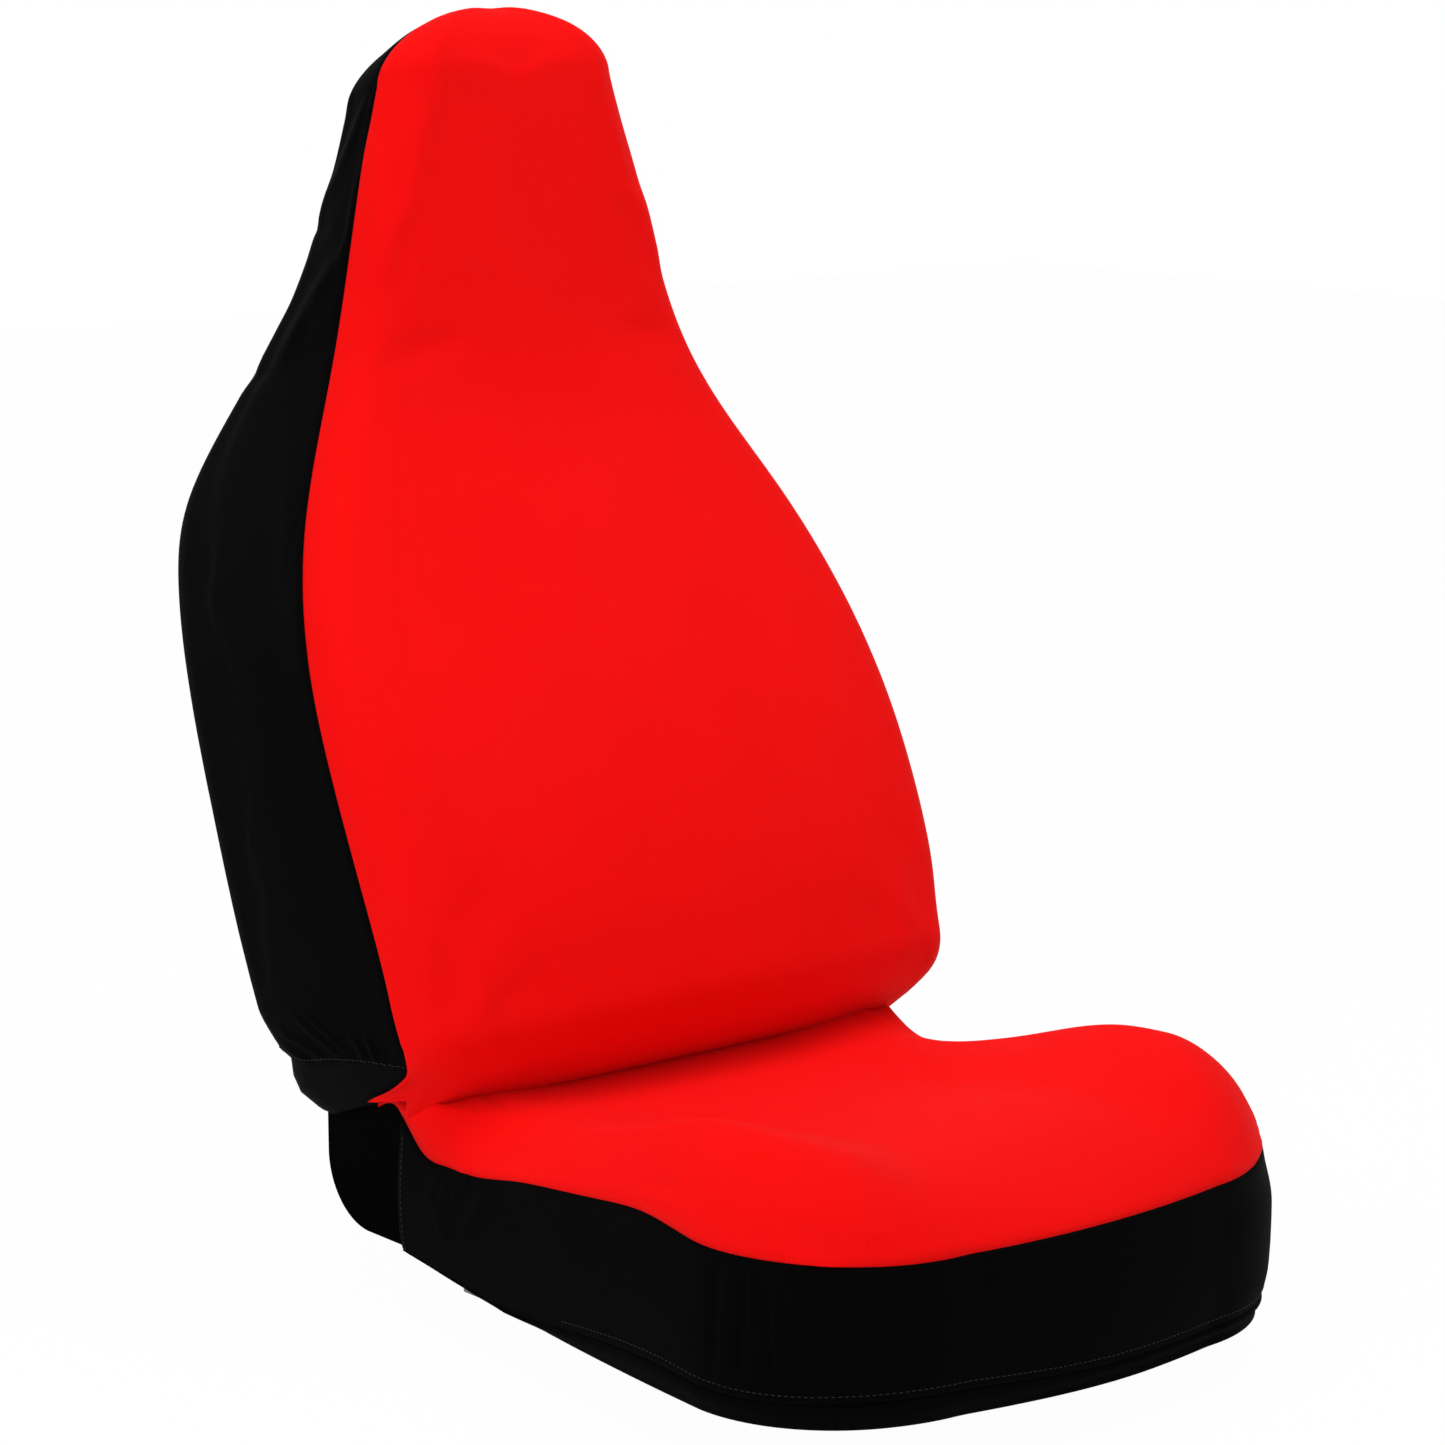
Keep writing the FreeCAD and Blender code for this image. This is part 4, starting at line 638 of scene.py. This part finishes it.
def boundary_runs():
    """Places along the outline where the top panel's edge points are, right to left."""
    s_dense, t_dense = plan_spacing(TOP_ROWS, TOP_COLUMNS)
    side = OUTLINE_HALF + (PLAN_TURN - OUTLINE_HALF) * s_dense
    front = (2 * t_dense - 1) * PLAN_TURN
    return np.concatenate([-side, front[1:-1], side[::-1]])


# Materials


class Finish:
    """A material with a Principled shader, built up from procedural textures."""

    def __init__(self, name, roughness, specular, metallic=0.0, sheen=0.0):
        self.made = bpy.data.materials.new(name)
        self.made.use_nodes = True
        self.nodes, self.links = self.made.node_tree.nodes, self.made.node_tree.links
        self.shader = self.nodes["Principled BSDF"]
        for key, value in (("Roughness", roughness), ("Specular IOR Level", specular),
                           ("Metallic", metallic), ("Sheen Weight", sheen), ("Sheen Roughness", 0.5)):
            self.shader.inputs[key].default_value = value
        self.height = None

    def node(self, kind, settings=(), **inputs):
        made = self.nodes.new(kind)
        for key, value in settings:
            setattr(made, key, value)
        for key, value in inputs.items():
            socket = made.inputs[key.replace("_", " ")]
            if isinstance(value, bpy.types.NodeSocket):
                self.links.new(value, socket)
            else:
                socket.default_value = value
        return made

    def places(self, kind="Object", stretch=(1, 1, 1)):
        if kind == "cloth":
            source = self.node("ShaderNodeUVMap", (("uv_map", "cloth"),)).outputs[0]
        else:
            source = self.node("ShaderNodeTexCoord").outputs[kind]
        mapping = self.node("ShaderNodeMapping", Vector=source)
        mapping.inputs["Scale"].default_value = stretch
        return mapping.outputs[0]

    def noise(self, places, scale, detail=3.0, rough=0.5):
        return self.node("ShaderNodeTexNoise", Vector=places, Scale=scale, Detail=detail,
                         Roughness=rough).outputs["Fac"]

    def bands(self, places, direction, period):
        """Even ribs, with their distance in metres."""
        return self.node("ShaderNodeTexWave", (("bands_direction", direction),), Vector=places,
                         Scale=math.pi / (10 * period), Distortion=0.6, Detail=1.0,
                         Detail_Scale=1.0).outputs["Fac"]

    def maths(self, operation, first, second):
        made = self.node("ShaderNodeMath", (("operation", operation),))
        for socket, value in zip(made.inputs, (first, second)):
            if isinstance(value, bpy.types.NodeSocket):
                self.links.new(value, socket)
            else:
                socket.default_value = value
        return made.outputs[0]

    def ramp(self, factor, *stops):
        made = self.node("ShaderNodeValToRGB", Fac=factor)
        ramp = made.color_ramp
        while len(ramp.elements) < len(stops):
            ramp.elements.new(0.5)
        for element, (place, colour) in zip(ramp.elements, stops):
            element.position, element.color = place, (*colour, 1)
        return made.outputs["Color"]

    def colour(self, factor, *stops):
        self.links.new(self.ramp(factor, *stops), self.shader.inputs["Base Color"])

    def raise_by(self, height, millimetres, strength=1.0):
        """Add a layer of relief."""
        made = self.node("ShaderNodeBump", Height=height, Strength=strength, Distance=millimetres * MM)
        if self.height is not None:
            self.links.new(self.height, made.inputs["Normal"])
        self.height = made.outputs[0]
        self.links.new(self.height, self.shader.inputs["Normal"])

    def roughness(self, factor, low, high):
        span = self.node("ShaderNodeMapRange", Value=factor, To_Min=low, To_Max=high)
        self.links.new(span.outputs[0], self.shader.inputs["Roughness"])


def knit(name, dark, middle, light, specular, sheen):
    """Warp knit cloth on thin foam: fine ribs, soft dimples, and a little unevenness in the dye."""
    made = Finish(name, 0.8, specular, sheen=sheen)
    cloth = made.places("cloth")
    ribs = made.bands(cloth, "X", 0.0014)
    courses = made.bands(cloth, "Y", 0.0011)
    loops = made.maths("MULTIPLY", ribs, courses)
    fibre = made.noise(made.places("cloth", (1, 0.35, 1)), 1500.0, 4.0, 0.6)
    dye = made.noise(cloth, 9.0, 4.0, 0.55)
    shade = made.maths("ADD", made.maths("MULTIPLY", dye, 0.4),
                       made.maths("ADD", made.maths("MULTIPLY", loops, 0.3),
                                  made.maths("MULTIPLY", fibre, 0.3)))
    made.colour(shade, (0.3, dark), (0.5, middle), (0.68, light))
    made.raise_by(made.noise(made.places("cloth", (1, 1, 1)), 22.0, 2.0, 0.45), 0.5, 0.5)
    made.raise_by(made.noise(made.places("cloth", (1.6, 0.5, 1)), 70.0, 2.0, 0.5), 0.34, 0.5)
    made.raise_by(made.maths("ADD", loops, made.maths("MULTIPLY", fibre, 0.5)), 0.18, 0.5)
    made.roughness(fibre, 0.7, 0.95)
    return made.made


red_fabric = knit("red_fabric", (0.80, 0.0025, 0.0025), (0.84, 0.003, 0.003), (0.87, 0.0036, 0.0036),
                  0.04, 0.01)
black_fabric = knit("black_fabric", (0.0006,) * 3, (0.0009,) * 3, (0.0014,) * 3, 0.02, 0.003)


def grained(name, dark, light, roughness, specular, pitch, depth):
    """Moulded or coated skin with a fine pebbled grain, and soft scuffs where it's been rubbed."""
    made = Finish(name, roughness, specular)
    place = made.places()
    cells = made.node("ShaderNodeTexVoronoi", (("feature", "SMOOTH_F1"),), Vector=place,
                      Scale=1 / pitch, Smoothness=0.4).outputs["Distance"]
    patches = made.noise(place, 14.0, 4.0, 0.55)
    scuff = made.noise(made.places(stretch=(1, 1, 5)), 60.0, 5.0, 0.65)
    shade = made.maths("ADD", made.maths("MULTIPLY", patches, 0.6), made.maths("MULTIPLY", scuff, 0.4))
    made.colour(shade, (0.35, dark), (0.7, light))
    made.raise_by(patches, 0.5, 0.4)
    made.raise_by(cells, depth, 0.6)
    made.roughness(scuff, roughness - 0.08, roughness + 0.12)
    return made.made


own_trim = grained("own_trim", (0.0010,) * 3, (0.0018,) * 3, 0.6, 0.016, 0.0016, 0.3)
shield_plastic = grained("shield_plastic", (0.0002,) * 3, (0.0005,) * 3, 0.45, 0.004, 0.0011, 0.16)


def steel(name, dark, light, roughness, metallic, specular):
    """Coated or plated pressed steel: faint blotches, a slight waviness and rubbed places."""
    made = Finish(name, roughness, specular, metallic)
    place = made.places()
    blotches = made.noise(place, 45.0, 5.0, 0.6)
    rubbed = made.noise(made.places(stretch=(1, 0.12, 1)), 240.0, 4.0, 0.6)
    shade = made.maths("ADD", made.maths("MULTIPLY", blotches, 0.65), made.maths("MULTIPLY", rubbed, 0.35))
    made.colour(shade, (0.36, dark), (0.5, [(a + b) / 2 for a, b in zip(dark, light)]), (0.66, light))
    made.raise_by(blotches, 0.12, 0.4)
    made.raise_by(rubbed, 0.03, 0.4)
    made.roughness(shade, roughness - 0.1, roughness + 0.14)
    return made.made


black_steel = steel("black_steel", (0.008, 0.008, 0.008), (0.016, 0.016, 0.017), 0.45, 0.0, 0.3)
zinc_steel = steel("zinc_steel", (0.40, 0.40, 0.38), (0.58, 0.58, 0.56), 0.4, 1.0, 0.5)


def nylon(name, dark, light):
    """Natural nylon moulding, with faint flow marks."""
    made = Finish(name, 0.45, 0.4)
    flow = made.noise(made.places(stretch=(1, 0.25, 1)), 60.0, 3.0, 0.5)
    made.colour(flow, (0.35, dark), (0.7, light))
    made.raise_by(flow, 0.05, 0.4)
    made.roughness(flow, 0.38, 0.56)
    return made.made


cage_plastic = nylon("cage_plastic", (0.62, 0.60, 0.53), (0.72, 0.70, 0.64))


def sewing_thread(name, shade):
    made = Finish(name, 0.6, 0.1)
    twist = made.bands(made.places(), "DIAGONAL", 0.0006)
    made.colour(twist, (0.2, (shade * 0.7,) * 3), (0.8, (shade,) * 3))
    made.raise_by(twist, 0.05)
    return made.made


thread = sewing_thread("thread", 0.02)


# Pieces


def finished(obj, body, finish, slot, *nodes):
    """Give a piece its finish, tie it to its body, and hide the nodes that it stands for."""
    obj.data.materials.append(finish)
    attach(obj, body)
    if nodes:
        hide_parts(*nodes)
    return obj


CLOTH_THICKNESS = 2.0


def panel(name, grid, outward, *ties):
    """Cloth panel with its own thickness, drawn on a grid of points."""
    faces = grid_faces(grid.shape[0], grid.shape[1])
    faces = faces if outward < 0 else faces[:, ::-1]
    obj = add_mesh(name, grid.reshape(-1, 3), faces, cloth_places(grid))
    thick = obj.modifiers.new("Thickness", "SOLIDIFY")
    thick.thickness = CLOTH_THICKNESS * MM
    thick.offset = -1
    return finished(obj, *ties)


front_grid, side_grid = swell(back_cover_grids(), (1, -1))
front_grid, side_grid = finer(front_grid), finer(side_grid)

SKIRT_ROWS, HEM_ROWS = 18, 5
top_grid = cushion_top_grid()
skirt_grid = skirt_points(SKIRT_ROWS, lambda y, run: seam_height(outline_point(run)[0], y),
                          lambda y, run: skirt_low(y, run) + band_at(run))
hem_grid = skirt_points(HEM_ROWS, lambda y, run: skirt_low(y, run) + band_at(run), skirt_low)
top_grid, skirt_grid = swell([top_grid, skirt_grid], (-1, -1))
top_grid, skirt_grid, hem_grid = finer(top_grid), finer(skirt_grid), finer(hem_grid)

# Folds: points on the drawing from the front left, width there, and height in millimetres.
SIDE_FOLDS = [
    (((278, 1025), (286, 1035), (299, 1042), (317, 1054), (325, 1062)), 2.8, 2.1),
    (((289, 1012), (304, 1025), (320, 1039), (338, 1054), (351, 1063)), 2.8, 2.1),
    (((302, 1011), (317, 1025), (330, 1036), (343, 1049), (357, 1063)), 2.7, 1.8),
    (((346, 1031), (357, 1044), (364, 1059), (368, 1066)), 2.6, 1.6),
    (((364, 1033), (372, 1049), (380, 1067)), 2.6, 1.6),
    (((372, 1046), (377, 1062)), 2.4, 1.2),
    (((383, 1054), (387, 1067)), 2.4, 1.2),
    (((393, 1058), (394, 1070)), 2.4, 1.0),
    (((281, 1041), (296, 1054), (312, 1063)), 2.6, 1.6),
    (((376, 78), (360, 118), (340, 169), (328, 198), (318, 224)), 4.5, 2.2),
    (((364, 82), (348, 122), (330, 170), (318, 205)), 7, -1.8),
    (((302, 232), (318, 228), (334, 222)), 6, -1.2),
    (((344, 236), (328, 271), (315, 293), (302, 319), (286, 351), (274, 372)), 6.5, 2.4),
    (((330, 245), (312, 275), (298, 300), (284, 330)), 8, -1.4),
    (((240, 384), (256, 374), (276, 364)), 7, -2.0),
    (((294, 430), (289, 560), (300, 700)), 13, 2.0),
]
FRONT_FOLDS = [
    (((370, 120), (378, 200), (386, 300)), 16, 1.3),
    (((404, 130), (410, 210), (416, 290)), 14, -0.7),
    (((628, 180), (645, 215), (664, 275)), 8, 2.2),
    (((618, 190), (634, 225), (650, 285)), 8, -1.6),
    (((466, 930), (482, 1000), (500, 1062)), 14, 1.8),
    (((438, 940), (448, 1000), (462, 1060)), 13, -1.6),
]
SKIRT_FOLDS = [
    (((719, 1252), (714, 1298), (712, 1381)), 5, -2.2),
    (((741, 1259), (744, 1275), (740, 1332), (738, 1388)), 4.5, -2.4),
    (((750, 1261), (751, 1332)), 4, 1.6),
    (((760, 1263), (761, 1285), (768, 1329), (768, 1395)), 4.5, -2.2),
    (((774, 1275), (775, 1391)), 4, 1.6),
    (((787, 1357), (782, 1396)), 4, -1.6),
    (((802, 1359), (797, 1400)), 4, -1.6),
    (((812, 1357), (811, 1401)), 4, 1.4),
    (((785, 1265), (800, 1290), (812, 1310)), 4.5, -1.8),
    (((470, 1174), (460, 1188), (450, 1202)), 3.6, 1.5),
    (((457, 1172), (447, 1186), (439, 1200)), 3.6, 1.4),
    (((446, 1166), (434, 1186), (428, 1206)), 4, 1.0),
    (((486, 1180), (478, 1206), (462, 1236)), 4.5, 1.2),
    (((436, 1206), (440, 1226), (446, 1240)), 4.5, 1.0),
]
TOP_FOLDS = [
    (((470, 1165), (462, 1172), (452, 1180)), 4, 1.0),
    (((640, 1118), (760, 1112), (880, 1106)), 16, 1.4),
    (((850, 1045), (900, 1070), (930, 1110)), 6, 1.2),
    (((890, 1042), (940, 1066), (975, 1108)), 6, 1.2),
    (((930, 1045), (985, 1066), (1020, 1104)), 7, 0.8),
    (((975, 1048), (1030, 1066), (1062, 1100)), 7, 0.8),
]
SEAM_WIDTH = 5.0
front_grid = folds(seam_roll(front_grid, 1, SEAM_WIDTH, 1.2, "first", "last"), 1, FRONT_FOLDS, 0.6)
side_grid = folds(seam_roll(side_grid, -1, SEAM_WIDTH, 1.0, "first", "last", "low"), -1, SIDE_FOLDS, 0.8)
top_grid = folds(seam_roll(top_grid, -1, SEAM_WIDTH, 1.4, "first", "last", "high"), -1, TOP_FOLDS,
                 0.5)
skirt_grid = folds(seam_roll(skirt_grid, -1, SEAM_WIDTH, 1.0, "low"), -1, SKIRT_FOLDS, 0.8)
front_panel = panel("back_front_panel", front_grid, 1, "backrest", red_fabric, "red_fabric",
                    "back_cover_front")
side_panel = panel("back_side_panel", side_grid, -1, "backrest", black_fabric, "black_fabric",
                   "back_cover_sides")
top_panel = panel("cushion_top_panel", top_grid, -1, "seat_base", red_fabric, "red_fabric",
                  "seat_cover_top")
skirt_panel = panel("cushion_skirt", skirt_grid, -1, "seat_base", black_fabric, "black_fabric",
                    "seat_cover_skirt")
hem_panel = panel("cushion_hem", hem_grid, -1, "seat_base", black_fabric, "black_fabric",
                  "seat_cover_hem")


STITCH_LONG, STITCH_GAP, THREAD_RADIUS, THREAD_SIDES = 3.1, 1.5, 0.4, 6
# A stitch's rings, along it and in width, and the share of its radius sunk in the cloth.
STITCH_PLACES, STITCH_WIDTHS = (0.0, 0.12, 0.5, 0.88, 1.0), (0.25, 0.8, 1.0, 0.8, 0.25)
STITCH_SUNK = 0.55


def stitch_row(name, line, normals, body, slot):
    """Lockstitches laid end to end along a line of points on a cover."""
    reach = np.concatenate([[0], np.cumsum(np.linalg.norm(np.diff(line, axis=0), axis=1))])
    starts = np.arange(STITCH_GAP, reach[-1] - STITCH_LONG, STITCH_LONG + STITCH_GAP)
    sides, rings = THREAD_SIDES, len(STITCH_PLACES)
    around = np.arange(sides) * math.pi / 3
    points, faces = [], []
    for start in starts:
        base = len(points)
        places = start + STITCH_LONG * np.array(STITCH_PLACES)
        middle = np.stack([np.interp(places, reach, line[:, k]) for k in range(3)], -1)
        up = np.stack([np.interp(places, reach, normals[:, k]) for k in range(3)], -1)
        side = np.cross(middle[-1] - middle[0], up[2])
        side = side / np.linalg.norm(side)
        for m, u, w in zip(middle, up, STITCH_WIDTHS):
            centre = m + u * (THREAD_RADIUS * (w - STITCH_SUNK))
            points += [centre + THREAD_RADIUS * w * (side * math.cos(a) + u * math.sin(a))
                       for a in around]
        for ring in range(base, base + sides * (rings - 1), sides):
            faces += [(ring + k, ring + (k + 1) % sides, ring + sides + (k + 1) % sides,
                       ring + sides + k) for k in range(sides)]
        faces += [tuple(base + k for k in range(sides - 1, -1, -1)),
                  tuple(base + sides * (rings - 1) + k for k in range(sides))]
    return finished(add_mesh(name, np.array(points), faces), body, thread, slot)


side_normals, skirt_normals = grid_normals(side_grid, -1), grid_normals(skirt_grid, -1)
back_stitches = stitch_row("back_hem_stitches", side_grid[2], side_normals[2], "backrest", "black_fabric")
skirt_ends = [stitch_row("skirt_end_stitches_" + label, skirt_grid[3:, column], skirt_normals[3:, column],
                         "seat_base", "black_fabric") for label, column in (("right", 1), ("left", -2))]
hem_stitches = stitch_row("skirt_hem_stitches", skirt_grid[-3, 50:-50], skirt_normals[-3, 50:-50],
                          "seat_base", "black_fabric")


# Outside this half width the backrest's foam has lobes beside the hinge, down to this height.
LOBE_IN, LOBE_LOW = 231.5, 71.0
# How far the foams lie inside the covers.
FOAM_GAP = 4.0


def back_foam():
    """The backrest's own trimmed foam: round the hinge between the shields, lower outside them."""
    columns = 64
    lowest = np.concatenate([np.linspace(54, 63, 5), np.linspace(64.2, 68.4, 8), np.linspace(69.5, 76, 5)])
    up = np.concatenate([lowest, np.linspace(79, BACK_TOP - 6, 58)])[:, None]
    across = np.linspace(-1, 1, columns)[None, :]
    around = np.linspace(1, -1, columns + 40)[None, 1:-1]
    inset = FOAM_GAP - 3.2 * np.exp(-((up - 100) / 16) ** 2)
    fx, fd = front_point(across + 0 * up, up + 0 * across, 5 + 3 * smooth_step(-up, -96, -76))
    rx, rd = rear_point(around + 0 * up, up + 0 * around, inset)
    x, depth = np.concatenate([fx, rx], 1), np.concatenate([fd, rd], 1)
    loop = x.shape[1]
    caps = [(x[0] * share, np.full(loop, up[0, 0]), depth[0] * share)
            for share in np.linspace(0, 1, 12)[:-1]]
    all_x = np.concatenate([[c[0] for c in caps], x])
    all_up = np.concatenate([[c[1] for c in caps], up + 0 * x])
    all_depth = np.concatenate([[c[2] for c in caps], depth])
    all_x = all_x * (1 - 0.08 * smooth_step(-all_up, -70, -63))
    radius = np.maximum(np.hypot(all_up, all_depth), 1e-6)
    push = np.maximum(CLEAR_RADIUS / radius, 1)
    outside = smooth_step(np.abs(all_x), LOBE_IN, LOBE_IN + 2.5)
    low_up = np.maximum(all_up, LOBE_LOW)
    all_up, all_depth = (all_up * push * (1 - outside) + low_up * outside,
                         all_depth * (push * (1 - outside) + outside))
    points = lay_back(all_x, all_up, all_depth).reshape(-1, 3)
    kept, place = merge(points)
    total = len(caps) + len(up)
    faces = [(r * loop + c, r * loop + (c + 1) % loop, (r + 1) * loop + (c + 1) % loop,
              (r + 1) * loop + c) for r in range(total - 1) for c in range(loop)]
    faces.append(tuple((total - 1) * loop + c for c in range(loop)))
    return points[kept], merged_faces(faces, place)


back_trim = finished(add_mesh("backrest_foam", *back_foam()), "backrest", own_trim, "upholstery",
                     "backrest_pad")


CUSHION_FOAM_REAR, CUSHION_FOAM_LOW = 134.0, 99.0


def cushion_foam():
    """The cushion's own trimmed foam, lower at its rear, where the backrest comes close."""
    x, y = coons_plan(TOP_ROWS // 2, TOP_COLUMNS // 2, FOAM_GAP)
    y = np.minimum(y, CUSHION_FOAM_REAR)
    z = np.maximum(cushion_top(x, y) - FOAM_GAP, CUSHION_FOAM_LOW + 1)
    allowed = height_allowed(y, CLEAR_RADIUS - 5)
    z = np.where(y > 110, np.minimum(z, np.maximum(allowed, 148)), z)
    z = np.minimum(z, 172 - 0.85 * np.maximum(y - 95, 0))
    over, ahead = drawn_corner(x, y)
    x, y = x - 1.3 * over, y - 1.3 * ahead
    top = np.stack([x, y, z], -1)
    base = np.stack([x, y, np.full_like(x, CUSHION_FOAM_LOW)], -1)
    rows, columns = x.shape
    points = np.concatenate([top.reshape(-1, 3), base.reshape(-1, 3)])
    faces = [tuple(f) for f in grid_faces(rows, columns)]
    faces += [tuple(f[::-1]) for f in grid_faces(rows, columns, rows * columns)]
    ring = (list(range(columns)) + [r * columns + columns - 1 for r in range(1, rows)]
            + [(rows - 1) * columns + c for c in range(columns - 2, -1, -1)]
            + [r * columns for r in range(rows - 2, 0, -1)])
    shift = rows * columns
    for first, second in zip(ring, ring[1:] + ring[:1]):
        faces.append((first, second, second + shift, first + shift))
    return points, faces


seat_trim = finished(add_mesh("cushion_foam", *cushion_foam()), "seat_base", own_trim, "upholstery",
                     "cushion_pad")

# CAD nodes that stay: their finishes

FINISHES = {"shield_plastic": shield_plastic, "black_steel": black_steel, "zinc_steel": zinc_steel,
            "cage_plastic": cage_plastic, "lever_plastic": shield_plastic}
slots = {row["node"]: row["material_slot"] for row in frame["record"]["subparts"]}
for name, node in frame["nodes"].items():
    finish = FINISHES.get(slots.get(name))
    if finish is not None:
        node.data.materials.clear()
        node.data.materials.append(finish)


# Floor, light and camera


def mix_shaders(tree, output, factor, first, second):
    """Send a mix of two shaders to the output."""
    mixed = tree.nodes.new("ShaderNodeMixShader")
    for socket, source in zip(mixed.inputs, (factor, first, second)):
        tree.links.new(source, socket)
    tree.links.new(mixed.outputs[0], tree.nodes[output].inputs["Surface"])


bpy.ops.mesh.primitive_plane_add(size=14, location=(0, 0, -0.001))
floor = bpy.context.object
floor.name = "floor"
ground = Finish("floor", 0.9, 0.0)
ground.shader.inputs["Base Color"].default_value = (0.95, 0.95, 0.95, 1)
glow = ground.node("ShaderNodeEmission", Color=(1, 1, 1, 1))
path = ground.node("ShaderNodeLightPath")
share = ground.maths("MULTIPLY", path.outputs["Is Camera Ray"], 0.975)
mix_shaders(ground.made.node_tree, "Material Output", share, ground.shader.outputs[0], glow.outputs[0])
floor.data.materials.append(ground.made)

world = bpy.data.worlds.new("studio")
scene.world = world
world.use_nodes = True
nodes, links = world.node_tree.nodes, world.node_tree.links
ambient = nodes["Background"]
ambient.inputs["Color"].default_value = (1, 1, 1, 1)
ambient.inputs["Strength"].default_value = 0.5
seen = nodes.new("ShaderNodeBackground")
seen.inputs["Color"].default_value = (1, 1, 1, 1)
path = nodes.new("ShaderNodeLightPath")
either, third = nodes.new("ShaderNodeMath"), nodes.new("ShaderNodeMath")
either.operation = third.operation = "MAXIMUM"
links.new(path.outputs["Is Camera Ray"], either.inputs[0])
links.new(path.outputs["Is Glossy Ray"], either.inputs[1])
links.new(either.outputs[0], third.inputs[0])
links.new(path.outputs["Is Transmission Ray"], third.inputs[1])
mix_shaders(world.node_tree, "World Output", third.outputs[0], ambient.outputs[0], seen.outputs[0])


def area_lamp(name, place, target, width, power):
    data = bpy.data.lights.new(name, "AREA")
    data.shape = "SQUARE"
    data.size = width
    data.energy = power
    lamp = bpy.data.objects.new(name, data)
    lamp.location = place
    lamp.rotation_euler = (Vector(target) - Vector(place)).to_track_quat("-Z", "Y").to_euler()
    scene.collection.objects.link(lamp)


area_lamp("lamp_left", (-3.2, -0.6, 1.9), (0, 0.1, 0.4), 2.0, 45)
area_lamp("lamp_top", (0.3, -0.4, 3.2), (0, 0, 0.3), 2.2, 54)

camera_data = bpy.data.cameras.new("camera")
camera_data.lens = 103.34
camera_data.sensor_width = 36
camera = bpy.data.objects.new("camera", camera_data)
camera.location = EYE * MM
camera.rotation_euler = Vector(LOOK).to_track_quat("-Z", "Y").to_euler()
scene.collection.objects.link(camera)
scene.camera = camera
scene.view_settings.view_transform = "Standard"
